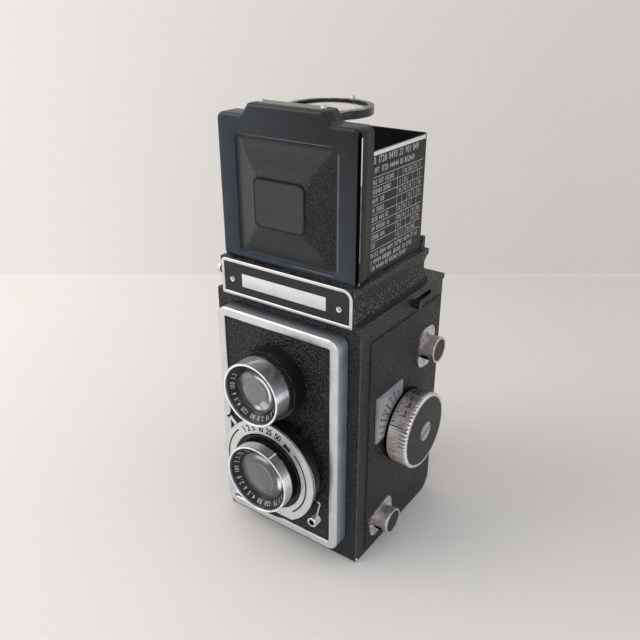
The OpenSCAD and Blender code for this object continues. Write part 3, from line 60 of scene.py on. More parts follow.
# camera, matched to the photograph
cameraSettings = {
    "eye": (170.47, -213.81, 246.65),
    "right": (0.8151, 0.57932, -0.00196),
    "down": (0.24923, -0.35372, -0.90154),
    "lens": 40.06,
}


def placeCamera(s):
    data = bpy.data.cameras.new("photoCamera")
    data.sensor_width = 36
    data.lens = s["lens"]
    data.clip_start = 0.01
    right = Vector(s["right"]).normalized()
    up = -Vector(s["down"]).normalized()
    turn = Matrix((right, up, right.cross(up))).transposed().to_4x4()
    camera = bpy.data.objects.new("photoCamera", data)
    camera.matrix_world = Matrix.Translation(spot(*s["eye"])) @ turn
    scene.collection.objects.link(camera)
    scene.camera = camera


placeCamera(cameraSettings)


# finishes: each is one dictionary, turned into a node material
def addNode(tree, kind, inputs=None, **props):
    node = tree.nodes.new(kind)
    for key, value in props.items():
        setattr(node, key, value)
    for key, value in (inputs or {}).items():
        if hasattr(value, "is_linked"):
            tree.links.new(value, node.inputs[key])
        else:
            node.inputs[key].default_value = value
    return node


def calc(tree, operation, a, b):
    return addNode(tree, "ShaderNodeMath", {0: a, 1: b}, operation=operation).outputs[0]


def combine(tree, operation, a, b):  # two vectors, or a vector and its scale
    ins = {0: a, "Scale" if operation == "SCALE" else 1: b}
    outs = addNode(tree, "ShaderNodeVectorMath", ins, operation=operation).outputs
    return outs["Value" if operation == "DOT_PRODUCT" else "Vector"]


def cloud(tree, place, scale, detail, rough=0.5):
    ins = {"Vector": place, "Scale": scale, "Detail": detail, "Roughness": rough}
    return addNode(tree, "ShaderNodeTexNoise", ins).outputs


def spread(tree, value, low, high, newLow, newHigh):
    ins = {"Value": value, "From Min": low, "From Max": high, "To Min": newLow, "To Max": newHigh}
    return addNode(tree, "ShaderNodeMapRange", ins).outputs[0]


def blendColours(tree, mask, first, second):
    mix = addNode(tree, "ShaderNodeMix", {"Factor": mask}, data_type="RGBA")
    for index, colour in ((6, first), (7, second)):
        if hasattr(colour, "is_linked"):
            tree.links.new(colour, mix.inputs[index])
        else:
            mix.inputs[index].default_value = (*colour, 1)
    return mix.outputs[2]


def grainHeight(tree, place, grain):
    scale = grain["scale"]
    if grain["kind"] == "noise":
        return cloud(tree, place, scale, 3.0, 0.55)["Fac"]
    lean = combine(tree, "SUBTRACT", cloud(tree, place, scale * 0.6, 2.0)["Color"], (0.5, 0.5, 0.5))
    moved = combine(tree, "ADD", place, combine(tree, "SCALE", lean, 0.9 / scale))
    cells = addNode(tree, "ShaderNodeTexVoronoi", {"Vector": moved, "Scale": scale}, feature="SMOOTH_F1")
    return spread(tree, cells.outputs["Distance"], 0.0, 0.8, 1.0, 0.0)


def makeFinish(name, look):
    mat = bpy.data.materials.new(name)
    mat.use_nodes = True
    tree = mat.node_tree
    shader = tree.nodes["Principled BSDF"]
    for socket, value in look.get("shader", {}).items():
        shader.inputs[socket].default_value = value
    coords = addNode(tree, "ShaderNodeTexCoord").outputs["Object"]
    place = coords
    if "stretch" in look:
        place = addNode(tree, "ShaderNodeMapping", {"Vector": coords, "Scale": look["stretch"]}).outputs[0]
    patch = cloud(tree, place, look.get("patch", 90.0), 6.0, 0.6)["Fac"]
    colour = blendColours(tree, spread(tree, patch, 0.3, 0.7, 0.0, 1.0), look["base"], look["accent"])
    if "painted" in look:  # another colour, by the tone stored on the mesh
        tone = addNode(tree, "ShaderNodeAttribute", attribute_name="tone").outputs["Fac"]
        colour = blendColours(tree, tone, colour, look["painted"])
    if "stain" in look:  # scattered tarnish
        stain = look["stain"]
        spots = cloud(tree, coords, stain["scale"], 5.0)["Fac"]
        colour = blendColours(tree, spread(tree, spots, 0.56, 0.68, 0.0, stain["share"]), colour,
                              stain["colour"])
    rough = spread(tree, patch, 0.3, 0.7, *look["rough"])
    if "grain" in look:
        height = grainHeight(tree, place, look["grain"])
        if "tops" in look:  # the high spots of the grain are painted paler, as painted highlights
            tops = look["tops"]
            glint = spread(tree, height, tops["low"], tops["high"], 0.0, tops["share"])
            colour = blendColours(tree, glint, colour, tops["colour"])
        bump = addNode(tree, "ShaderNodeBump",
                       {"Height": height, "Strength": 1.0, "Distance": look["grain"]["depth"]})
        tree.links.new(bump.outputs[0], shader.inputs["Normal"])
    if "wear" in look:  # paint rubbed off along the edges; on the magnifier ring and the lid's centre plate the pale edges are partly painted highlight
        wear = look["wear"]
        edge = addNode(tree, "ShaderNodeBevel", {"Radius": wear["reach"]}, samples=4).outputs[0]
        flat = addNode(tree, "ShaderNodeNewGeometry").outputs["Normal"]
        corner = spread(tree, combine(tree, "DOT_PRODUCT", edge, flat), 0.99, 0.86, 0.0, 1.0)
        chips = spread(tree, cloud(tree, coords, wear["scale"], 4.0)["Fac"], 0.42, 0.62, 0.0, 1.0)
        bare = calc(tree, "MULTIPLY", calc(tree, "MULTIPLY", corner, chips), wear["share"])
        colour = blendColours(tree, bare, colour, wear["colour"])
    tree.links.new(colour, shader.inputs["Base Color"])
    tree.links.new(rough, shader.inputs["Roughness"])
    return mat


def coat(base, accent, rough, **more):
    return {"base": base, "accent": accent, "rough": rough, **more}


def grey(value):
    return value, value, value


def noise(scale, depth):
    return {"kind": "noise", "scale": scale, "depth": depth}


def pebble(scale, depth):
    return {"kind": "pebble", "scale": scale, "depth": depth}


def grainHighlights(colour, share, low, high):
    return {"colour": colour, "share": share, "low": low, "high": high}


def stained(scale, colour, share):
    return {"scale": scale, "colour": colour, "share": share}


def edgeWearAndSheen(reach, colour, share, scale=700.0):
    return {"reach": reach, "colour": colour, "share": share, "scale": scale}


def enamel(base, accent, rough, **more):
    return coat(base, accent, rough, shader={"Specular IOR Level": 0.28}, **more)


def plated(share, base, accent, rough, **more):
    return coat(base, accent, rough, shader={"Metallic": share}, **more)


def glass(share, bend, base, accent, rough, **more):
    return coat(base, accent, rough, shader={"Transmission Weight": share, "IOR": bend}, **more)


wornEdge = edgeWearAndSheen(0.0004, (0.30, 0.30, 0.29), 0.6)
looks = {
    "boardLeather": enamel((0.0055, 0.0055, 0.006), (0.009, 0.009, 0.0095), (0.32, 0.44), patch=40.0,
                           grain=pebble(1100.0, 0.0007), tops=grainHighlights((0.06, 0.06, 0.061), 0.8, 0.5, 0.82)),
    "bodyLeather": enamel(grey(0.009), (0.015, 0.015, 0.0145), (0.38, 0.52), patch=35.0,
                          grain=pebble(1000.0, 0.0007),
                          tops=grainHighlights((0.038, 0.038, 0.036), 0.85, 0.36, 0.84)),
    "backGrain": enamel(grey(0.008), (0.013, 0.013, 0.0125), (0.38, 0.52), patch=35.0,
                        grain=pebble(1000.0, 0.0007), tops=grainHighlights((0.026, 0.026, 0.025), 0.8, 0.4, 0.85)),
    "lidLeather": enamel((0.014, 0.015, 0.0155), (0.022, 0.023, 0.0235), (0.4, 0.5), patch=45.0,
                         grain=pebble(2300.0, 0.00016), tops=grainHighlights((0.085, 0.085, 0.084), 0.5, 0.42, 0.8)),
    "lidLeftLit": enamel((0.030, 0.032, 0.033), (0.038, 0.040, 0.041), (0.38, 0.5), patch=45.0,
                      grain=pebble(2300.0, 0.00014), tops=grainHighlights(grey(0.10), 0.4, 0.42, 0.8)),
    "lidTopShaded": enamel((0.010, 0.0105, 0.011), (0.015, 0.0155, 0.016), (0.42, 0.54), patch=45.0,
                     grain=pebble(2300.0, 0.00014), tops=grainHighlights(grey(0.055), 0.4, 0.42, 0.8)),
    "lidRightShaded": enamel(grey(0.006), grey(0.010), (0.42, 0.54), patch=45.0, grain=pebble(1800.0, 0.00025),
                       tops=grainHighlights(grey(0.075), 0.6, 0.48, 0.82)),
    "deepBlack": coat(grey(0.0006), grey(0.0015), (0.8, 0.9), shader={"Specular IOR Level": 0.02},
                      patch=200.0),
    # its pale edges are partly wear and partly painted highlight
    "centreEnamel": enamel((0.027, 0.029, 0.032), (0.035, 0.037, 0.040), (0.34, 0.44), patch=60.0,
                           grain=noise(1500.0, 0.00003), wear=edgeWearAndSheen(0.0003, (0.3, 0.31, 0.32), 0.7)),
    "crinkleEnamel": enamel(grey(0.004), (0.009, 0.009, 0.0085), (0.28, 0.42), patch=60.0, wear=wornEdge,
                            grain=noise(1500.0, 0.0006), tops=grainHighlights((0.16, 0.16, 0.156), 0.85, 0.5, 0.7)),
    "hoodCrinkle": enamel(grey(0.005), (0.010, 0.010, 0.0098), (0.28, 0.42), patch=60.0, wear=wornEdge,
                          grain=noise(1200.0, 0.0006), tops=grainHighlights((0.23, 0.23, 0.225), 0.85, 0.52, 0.68)),
    "plateEnamel": enamel((0.014, 0.014, 0.0145), (0.020, 0.020, 0.0205), (0.3, 0.42), patch=70.0,
                          grain=noise(900.0, 0.00003), wear=wornEdge),
    "satinEnamel": enamel((0.008, 0.008, 0.0085), (0.014, 0.014, 0.0145), (0.3, 0.42), patch=70.0,
                          grain=noise(900.0, 0.00003), wear=wornEdge),
    # its painted colour is painted shade towards the lid's top and right
    "slateEnamel": enamel((0.019, 0.026, 0.038), (0.026, 0.034, 0.047), (0.36, 0.44), patch=30.0,
                          painted=(0.007, 0.0085, 0.0085), grain=noise(700.0, 0.00002),
                          wear=edgeWearAndSheen(0.0004, (0.18, 0.19, 0.21), 0.5)),
    "flatBlack": enamel(grey(0.005), grey(0.010), (0.6, 0.75), grain=noise(1500.0, 0.00004)),
    "lensBlack": enamel((0.005, 0.005, 0.0055), (0.010, 0.010, 0.0105), (0.22, 0.34),
                        grain=noise(1200.0, 0.00001), wear=wornEdge),
    "brightChrome": plated(1.0, (0.68, 0.69, 0.71), (0.78, 0.79, 0.80), (0.12, 0.24), patch=220.0,
                           grain=noise(800.0, 0.000006), stain=stained(330.0, (0.30, 0.25, 0.23), 0.6)),
    # painted reflections: a dark brownish base, with pale streaks laid on by the tone
    "rimChrome": plated(0.35, (0.05, 0.038, 0.034), (0.085, 0.078, 0.078), (0.12, 0.24), patch=220.0,
                        painted=(0.95, 0.97, 1.0), grain=noise(800.0, 0.000006),
                        stain=stained(420.0, (0.05, 0.045, 0.045), 0.3)),
    "pullMetal": plated(0.8, (0.34, 0.30, 0.295), (0.60, 0.55, 0.54), (0.34, 0.5), patch=420.0,
                        grain=noise(1800.0, 0.00003)),
    "wornPlate": plated(0.95, (0.55, 0.55, 0.56), (0.78, 0.79, 0.80), (0.24, 0.4), patch=380.0,
                        grain=noise(1500.0, 0.00004), stain=stained(520.0, (0.10, 0.09, 0.085), 0.7)),
    "tabSteel": plated(0.7, (0.12, 0.12, 0.105), (0.24, 0.24, 0.215), (0.3, 0.45), patch=260.0,
                       grain=noise(1500.0, 0.00002)),
    # its pale edges are partly wear and partly painted highlight
    "ringSteel": plated(0.6, (0.035, 0.036, 0.038), (0.06, 0.061, 0.063), (0.2, 0.34),
                        grain=noise(900.0, 0.00001), wear=edgeWearAndSheen(0.0006, (0.62, 0.62, 0.6), 0.9, 300.0)),
    "satinChrome": plated(1.0, (0.64, 0.65, 0.67), (0.74, 0.75, 0.765), (0.26, 0.38), patch=150.0,
                          grain=noise(2600.0, 0.000012)),
    # the blue tint is a painted reflection of bluish light; the painted colour is painted shade on the top
    "dullPlating": plated(0.82, (0.40, 0.47, 0.54), (0.50, 0.57, 0.64), (0.34, 0.46), patch=120.0,
                          painted=(0.07, 0.071, 0.073), grain=noise(2600.0, 0.000012)),
    # its painted colour darkens the grooves and lays painted shade over the scale half
    "knobMetal": plated(0.55, (0.50, 0.42, 0.385), (0.97, 0.93, 0.89), (0.16, 0.32), patch=420.0,
                        painted=(0.028, 0.021, 0.018), grain=noise(1600.0, 0.00003),
                        stretch=(0.2, 1.0, 1.0)),
    "plateSilver": plated(0.6, (0.41, 0.425, 0.45), (0.52, 0.535, 0.56), (0.34, 0.46), patch=180.0,
                          grain=noise(3000.0, 0.00001)),
    "scaleSilver": plated(0.85, (0.66, 0.67, 0.67), (0.75, 0.76, 0.76), (0.34, 0.46), patch=180.0,
                          grain=noise(3000.0, 0.00001)),
    "brushedSteel": plated(1.0, (0.42, 0.43, 0.44), (0.58, 0.59, 0.60), (0.28, 0.42), patch=1400.0,
                           grain=noise(2400.0, 0.00001), stretch=(0.06, 1.0, 1.0)),
    "darkSteel": plated(0.7, (0.045, 0.046, 0.048), (0.075, 0.076, 0.078), (0.28, 0.4),
                        grain=noise(900.0, 0.00001), wear=wornEdge),
    "warmBrass": plated(1.0, (0.50, 0.38, 0.17), (0.60, 0.47, 0.23), (0.25, 0.4),
                        grain=noise(1500.0, 0.00001)),
    "clearGlass": glass(1.0, 1.6, (0.92, 0.95, 0.95), (0.95, 0.97, 0.97), (0.0, 0.03)),
    "paleGlass": glass(1.0, 1.12, (0.86, 0.85, 0.80), (0.90, 0.89, 0.85), (0.0, 0.03)),
    # painted reflections, highlights and shade inside the lenses
    "lensGlow": coat(grey(0.0), grey(0.02), (0.02, 0.06), shader={"Specular IOR Level": 0.6}, patch=300.0,
                     painted=(0.93, 0.96, 0.94)),
    "groundGlass": glass(0.7, 1.5, (0.82, 0.85, 0.83), (0.88, 0.90, 0.88), (0.35, 0.5),
                         grain=noise(5000.0, 0.00001)),
    "redGlass": glass(0.35, 1.5, (0.22, 0.015, 0.012), (0.30, 0.02, 0.015), (0.05, 0.14)),
    "silvering": plated(1.0, (0.80, 0.82, 0.83), (0.86, 0.87, 0.88), (0.02, 0.06)),
    # used for print, and for painted highlights on edges
    "whitePrint": coat((0.66, 0.66, 0.64), (0.78, 0.78, 0.76), (0.45, 0.6), patch=500.0),
    "greyPrint": coat((0.40, 0.40, 0.385), (0.54, 0.54, 0.52), (0.45, 0.6), patch=500.0),
    "borderShine": coat((0.04, 0.045, 0.052), (0.085, 0.093, 0.105), (0.3, 0.42), patch=160.0),
    "bareEdge": coat((0.03, 0.033, 0.04), (0.24, 0.245, 0.25), (0.35, 0.5), patch=260.0),
    "labelWhite": coat((0.58, 0.59, 0.59), (0.66, 0.67, 0.67), (0.35, 0.5), patch=120.0,
                       grain=noise(2500.0, 0.00001)),
    "windowCard": coat((0.34, 0.27, 0.25), (0.46, 0.38, 0.36), (0.3, 0.45), patch=700.0),
    # used for print, and for painted shade in slots and in the window
    "blackPrint": enamel(grey(0.008), grey(0.016), (0.4, 0.55), patch=600.0),
}
mats = {name: makeFinish(name, finish) for name, finish in looks.items()}
print("finishes made:", len(mats))


# mesh helpers
def addPiece(name, mesh, body, finishes, sharp=32.0):
    mesh.name = name
    mesh.shade_smooth()
    mesh.set_sharp_from_angle(angle=math.radians(sharp))
    piece = bpy.data.objects.new(name, mesh)
    scene.collection.objects.link(piece)
    for finish in finishes if isinstance(finishes, list) else [finishes]:
        mesh.materials.append(mats[finish])
    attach(piece, body)
    return piece


def meshFrom(verts, faces, indices=()):
    mesh = bpy.data.meshes.new("piece")
    mesh.from_pydata([tuple(v) for v in verts], [], faces)
    for poly, index in zip(mesh.polygons, indices):
        poly.material_index = index
    mesh.validate()
    mesh.update()
    return mesh


def stackLoops(loops, closed=False, caps=(False, False), bands=None):  # quads between loops of equal length
    count, last = len(loops[0]), len(loops) - 1
    pairs = [(k, k + 1) for k in range(last)] + [(last, 0)] * closed
    bands = bands or [0] * len(pairs)
    faces, indices = [], []
    for band, (a, b) in zip(bands, pairs):
        for i in range(count):
            j = (i + 1) % count
            faces.append((a * count + i, a * count + j, b * count + j, b * count + i))
            indices.append(band)
    if caps[0]:
        faces.append(tuple(reversed(range(count))))
        indices.append(bands[0])
    if caps[1]:
        faces.append(tuple(range(last * count, (last + 1) * count)))
        indices.append(bands[-1])
    return meshFrom([v for loop in loops for v in loop], faces, indices)


def gridFaces(rows):  # quads between rows of three points
    starts = [3 * i + k for i in range(rows - 1) for k in range(2)]
    return [(a, a + 1, a + 4, a + 3) for a in starts]


def turnedX(profile, y, z, steps=128, closed=False):  # profile of (radius, x) turned round a knob's axis
    return stackLoops([[spot(x, y + r * c, z + r * d) for c, d in circle(steps)] for r, x in profile],
                      closed)


def turnedY(profile, z, closed=False):  # profile of (radius, y) turned round a lens axis
    return stackLoops([[spot(r * c, y, z + r * d) for c, d in circle(128)] for r, y in profile], closed)


# profile of (radius, z) turned round an upright axis
def turnedZ(profile, x, y, steps, caps=(False, False)):
    return stackLoops([[spot(x + r * c, y + r * d, z) for c, d in circle(steps)] for r, z in profile],
                      caps=caps)


# corners of (x, z, radius), counter-clockwise, moved inwards and rounded
def insetOutline(corners, inset, steps):
    count = len(corners)
    path = []
    for i in range(count):
        before, here, after = (Vector(corners[(i + k) % count][:2]) for k in (-1, 0, 1))
        d0, d1 = (here - before).normalized(), (after - here).normalized()
        n0, n1 = Vector((-d0.y, d0.x)), Vector((-d1.y, d1.x))
        turn = d0.x * d1.y - d0.y * d1.x
        radius = max(corners[i][2] + (-inset if turn > 0 else inset), 0.02)
        mid = here + (n0 + n1) * inset / (1 + n0.dot(n1))
        half = math.acos(max(-1, min(1, d0.dot(d1)))) / 2
        reach = radius * math.tan(half)
        centre = mid - d0 * reach + (n0 if turn > 0 else -n0) * radius
        arm = mid - d0 * reach - centre
        sweep = 2 * half if turn > 0 else -2 * half
        for k in range(steps + 1):
            a = sweep * k / steps
            path.append((centre.x + arm.x * math.cos(a) - arm.y * math.sin(a), centre.y
                         + arm.x * math.sin(a) + arm.y * math.cos(a)))
    return path


def frontLoop(corners, inset, y, steps=8):
    return [spot(x, y, z) for x, z in insetOutline(corners, inset, steps)]


def rectCorners(x0, x1, z0, z1, radius):
    return [(x0, z0, radius), (x1, z0, radius), (x1, z1, radius), (x0, z1, radius)]


def joinWithBorder(mesh, other, outer, inner):  # two meshes, and a flat border between a loop of each
    bm = bmesh.new()
    edges = []
    for loop in (outer, inner):
        ring = [bm.verts.new(v) for v in loop]
        edges += [bm.edges.new((ring[i], ring[(i + 1) % len(ring)])) for i in range(len(ring))]
    bmesh.ops.triangle_fill(bm, edges=edges, use_beauty=True, normal=(0, -1, 0))
    bm.from_mesh(mesh)
    bm.from_mesh(other)
    bmesh.ops.remove_doubles(bm, verts=bm.verts, dist=1e-6)
    bmesh.ops.recalc_face_normals(bm, faces=bm.faces)
    bm.to_mesh(mesh)
    bm.free()
    mesh.update()


def storeTone(mesh, rule):  # a shade for each point, read by the painted finishes
    tone = mesh.attributes.new("tone", "FLOAT", "POINT")
    for vertex in mesh.vertices:
        x, y, z = vertex.co * 1000
        tone.data[vertex.index].value = max(0.0, min(1.0, rule(x, y + socketBack, z)))


# printed marks: flat polygons in (u, v) millimetres, laid on a surface
glyphs = {}


def glyph(letter, weight):
    if (letter, weight) not in glyphs:
        curve = bpy.data.curves.new("digit", "FONT")
        curve.body = letter
        curve.resolution_u = 2
        curve.offset = weight  # makes the strokes bolder
        holder = bpy.data.objects.new("digit", curve)
        scene.collection.objects.link(holder)
        bpy.context.view_layer.update()
        mesh = bpy.data.meshes.new_from_object(holder.evaluated_get(bpy.context.evaluated_depsgraph_get()))
        points = [(v.co.x / 0.7, v.co.y / 0.7) for v in mesh.vertices]
        faces = [tuple(p.vertices) for p in mesh.polygons]
        glyphs[letter, weight] = (points, faces, max(p[0] for p in points) + 0.12)
        bpy.data.objects.remove(holder)
        bpy.data.meshes.remove(mesh)
    return glyphs[letter, weight]


def writeNumber(text, height, u, v, turn, squeeze, weight):
    gap = 0.45 * height * squeeze
    width = sum(glyph(ch, weight)[2] * height * squeeze if ch != " " else gap for ch in text)
    shapes, pen = [], -width / 2
    c, s = around(turn)
    for ch in text:
        if ch == " ":
            pen += gap
            continue
        points, faces, advance = glyph(ch, weight)
        placed = [(pen + x * height * squeeze, (y - 0.5) * height) for x, y in points]
        placed = [(u + x * c - y * s, v + x * s + y * c) for x, y in placed]
        shapes += [[placed[i] for i in face] for face in faces]
        pen += advance * height * squeeze
    return shapes


# digits from one direction to another, tops outwards
def writeRound(text, height, radius, start, end, weight):
    shapes = []
    for k, ch in enumerate(text):
        turn = start + (end - start) * k / (len(text) - 1)
        if ch != " ":
            c, d = around(turn)
            shapes += writeNumber(ch, height, radius * c, radius * d, turn - 90, 0.9, weight)
    return shapes


def drawLine(u0, v0, u1, v1, width, parts=1):
    start, run = Vector((u0, v0)), Vector((u1 - u0, v1 - v0))
    side = Vector((-run.y, run.x)).normalized() * width / 2
    shapes = []
    for i in range(parts):
        a, b = (start + run * k / parts for k in (i, i + 1))
        shapes.append([tuple(a - side), tuple(b - side), tuple(b + side), tuple(a + side)])
    return shapes


def drawArc(inner, outer, start, end, parts=40):
    shapes = []
    for i in range(parts):
        (c0, d0), (c1, d1) = (around(start + (end - start) * k / parts) for k in (i, i + 1))
        shapes.append([(inner * c0, inner * d0), (outer * c0, outer * d0), (outer * c1, outer * d1),
                       (inner * c1, inner * d1)])
    return shapes


def drawBar(u, half, low, high):
    return [[(u - half, low), (u - half, high), (u + half, high), (u + half, low)]]


def printOn(name, shapes, lay, body, finish):
    verts, faces = [], []
    for shape in shapes:
        faces.append(tuple(range(len(verts), len(verts) + len(shape))))
        verts += [lay(u, v) for u, v in shape]
    return addPiece(name, meshFrom(verts, faces), body, finish)


# finishes of the machined nodes, with the width of a small rounding that catches light on the edges, 0 for
# none
nodeFinish = {
    "crinkleEnamel": {"body_shell": 0.35},
    "hoodCrinkle": {"hood_base": 0.3},
    "bodyLeather": {"body_leathers": 0.15},
    "boardLeather": {"board_leather": 0.1},
    "flatBlack": {"mirror_box": 0, "light_tunnel": 0, "film_gate": 0, "screen_frame": 0},
    "silvering": {"reflex_mirror": 0},
    "groundGlass": {"focusing_screen": 0},
    "clearGlass": {"magnifier_lens": 0, "viewing_lens_glass": 0, "taking_lens_glass": 0},
    "redGlass": {"red_window": 0},
    "plateEnamel": {"name_plate": 0.1},
    "slateEnamel": {"hood_lid": 0.3},
    "centreEnamel": {"lid_centre_plate": 0.35},
    "satinEnamel": {"hood_left_panel": 0.12, "hood_right_panel": 0.12, "hood_rear_panel": 0.12,
                    "lens_board": 0, "focus_knob_face": 0.2, "back_door": 0.3, "back_latch": 0.2},
    "lensBlack": {"viewing_lens_mount": 0.15, "shutter_housing": 0.2, "speed_ring": 0.1,
                  "taking_lens_barrel": 0.15},
    "ringSteel": {"magnifier_frame": 0.25},
    "brightChrome": {"name_plate_screws": 0.08, "hood_catch": 0.3, "viewing_lens_rim": 0.2,
                     "taking_lens_rim": 0.2, "cocking_lever": 0.1, "release_lever": 0.1,
                     "aperture_lever": 0.1},
    "satinChrome": {"board_frame": 0.4},
    "scaleSilver": {"shutter_face": 0.1},
    "plateSilver": {"depth_scale_plate": 0.15},
    "darkSteel": {"shutter_blades": 0, "take_up_spool": 0, "supply_spool": 0, "red_window_cover": 0.15},
    "brushedSteel": {"upper_film_roller": 0, "lower_film_roller": 0, "hood_pins": 0, "guide_rods": 0,
                     "supply_pivot": 0, "pressure_plate": 0, "door_hinge_pin": 0, "focus_knob_screw": 0.15,
                     "tripod_socket": 0.2},
    "warmBrass": {"focus_rack": 0, "focus_shaft": 0},
    "knobMetal": {"focus_knob": 0.08, "winding_knob": 0.1},
    "pullMetal": {"upper_spool_knob": 0.3, "lower_spool_knob": 0.3},
    "wornPlate": {"knob_plates": 0.2, "plate_rivets": 0.15},
}


def dressNode(node, finish, rounding):
    node.data.materials.clear()
    node.data.materials.append(mats[finish])
    if rounding:
        bevel = node.modifiers.new("edgeRounding", "BEVEL")
        bevel.width = rounding * 0.001
        bevel.segments = 2
        bevel.limit_method = "ANGLE"
        bevel.angle_limit = math.radians(40)
        bevel.harden_normals = False


for finishName, group in nodeFinish.items():
    for nodeName, nodeRounding in group.items():
        dressNode(nodes[nodeName], finishName, nodeRounding)
print("nodes dressed:", sum(len(group) for group in nodeFinish.values()))

# hood lid: one pressed sheet with a turned edge, a beaded panel and a raised centre
lidSettings = {
    "halfWidth": 34.4, "low": 137.7, "high": 198.7, "corner": 3.0, "tabFoot": 21.25, "tabTop": 18.0,
    "tabHigh": 203.3, "front": 1.7, "back": 11.7, "edge": 1.6, "panelHalf": 25.2, "panelMiddle": 165.8,
    "sheet": 0.8, "groove": ((12.5, 10.0, 2.6), (11.9, 9.4, 2.4)), "grooveHeight": 4.02,
    # inset, corner radius and depth
    "bead": ((0, 2.6, 0), (0.15, 2.5, 0.08), (0.32, 2.3, 0.6), (0.6, 2.1, 0.95), (1.3, 1.8, 1.0),
             (2.0, 1.6, 0.8), (3.0, 1.5, 0.2)),
    # half width, half height, corner radius and height
    "rise": ((20.0, 19.4, 1.6, 0.75), (17.0, 15.5, 1.8, 1.75), (14.6, 12.4, 2.2, 2.7),
             (13.9, 11.5, 2.5, 3.15), (13.3, 10.9, 2.6, 3.42), (12.75, 10.3, 2.6, 3.5),
             (12.5, 10.0, 2.6, 3.4), (12.3, 9.8, 2.6, 3.1), (12.0, 9.5, 2.5, 3.05)),
}
lidFinishes = (["slateEnamel", "lidLeather", "satinEnamel"] + ["flatBlack"] * 3
               + ["deepBlack", "lidLeftLit", "lidTopShaded", "lidRightShaded"] + ["flatBlack"] * 3)


# a dark joint on the right rounding, and slopes in lighter and darker copies of the leather as painted light
# and shade
def lidFinish(poly, index, s):
    x, y, z = poly.center * 1000
    depth = y + socketBack - s["front"]
    if x > s["halfWidth"] - s["edge"] * 0.45 and 0.05 < depth < s["edge"] and z > s["low"] + 1:
        return lidFinishes.index("deepBlack")
    if index != lidFinishes.index("lidLeather") or abs(poly.normal.y) >= 0.995:
        return index
    for finish, lean in (("lidLeftLit", -poly.normal.x), ("lidRightShaded", poly.normal.x),
                         ("lidTopShaded", poly.normal.z)):
        if lean > 0.1:
            return lidFinishes.index(finish)
    return index


def buildLid(s):
    w, h, t, f = s["halfWidth"], s["high"], s["tabHigh"], s["front"]
    corners = [(-w, s["low"], 2.0), (w, s["low"], 2.0), (w, h, s["corner"]), (s["tabFoot"], h, 2.4),
               (s["tabTop"], t, 1.8), (-s["tabTop"], t, 1.8), (-s["tabFoot"], h, 2.4), (-w, h, s["corner"])]
    loops = [frontLoop(corners, 0, s["back"]), frontLoop(corners, 0, (s["back"] + f) / 2)]
    for k in range(7):
        c, d = around(15 * k)
        loops.append(frontLoop(corners, s["edge"] * (1 - c), f + s["edge"] * (1 - d)))
    mesh = stackLoops(loops, bands=[2, 2, 2] + [0] * (len(loops) - 4))
    p, m = s["panelHalf"], s["panelMiddle"]

    def panelLoop(a, b, r, y):
        return frontLoop(rectCorners(-a, a, m - b, m + b, r), 0, y)

    rings = [panelLoop(p - inset, p - inset, r, f + y) for inset, r, y in s["bead"]]
    rings += [panelLoop(a, b, r, f - y) for a, b, r, y in s["rise"]]
    panel = stackLoops(rings, caps=(False, True), bands=[0] * 4 + [1] * (len(rings) - 5))
    joinWithBorder(mesh, panel, loops[-1], rings[0])
    # painted shade: the border darkens towards the top and the right
    storeTone(mesh, lambda x, y, z: 0.75 * (z - 150) / 48 * (1 + x / 40))
    for poly in mesh.polygons:
        poly.material_index = lidFinish(poly, poly.material_index, s)
    lid = addPiece("hoodLid", mesh, "camera", lidFinishes, 40)
    shell = lid.modifiers.new("sheet", "SOLIDIFY")
    shell.thickness = s["sheet"] * 0.001
    shell.offset = -1
    shell.material_offset = 3
    shell.material_offset_rim = 0
    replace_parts(lid, "hood_lid")
    # a flat black strip in the groove round the centre plate is painted shade
    groove = [panelLoop(a, b, r, f - s["grooveHeight"]) for a, b, r in s["groove"]]
    addPiece("centreGroove", stackLoops(groove), "camera", "flatBlack")


# lid trim: bare right edge, painted highlight lines round the panel, a strip on the tab, ears for a pin and
# two studs
trimSettings = {
    "bare": (2.2, 1.8, 1.45), "bareHeights": (148.0, 160.0, 178.0, 195.5), "strip": (15.6, 4.2, 10.9),
    "earSides": (15.9, 17.1), "ear": ((7.9, 199.6), (10.6, 199.6), (10.6, 202.4), (7.9, 202.4)),
    "stud": (14.7, 7.6),
    "dome": ((1.2, 203.2), (1.2, 203.8), (1.0, 204.1), (0.7, 204.35), (0.3, 204.5), (0.02, 204.5)),
}


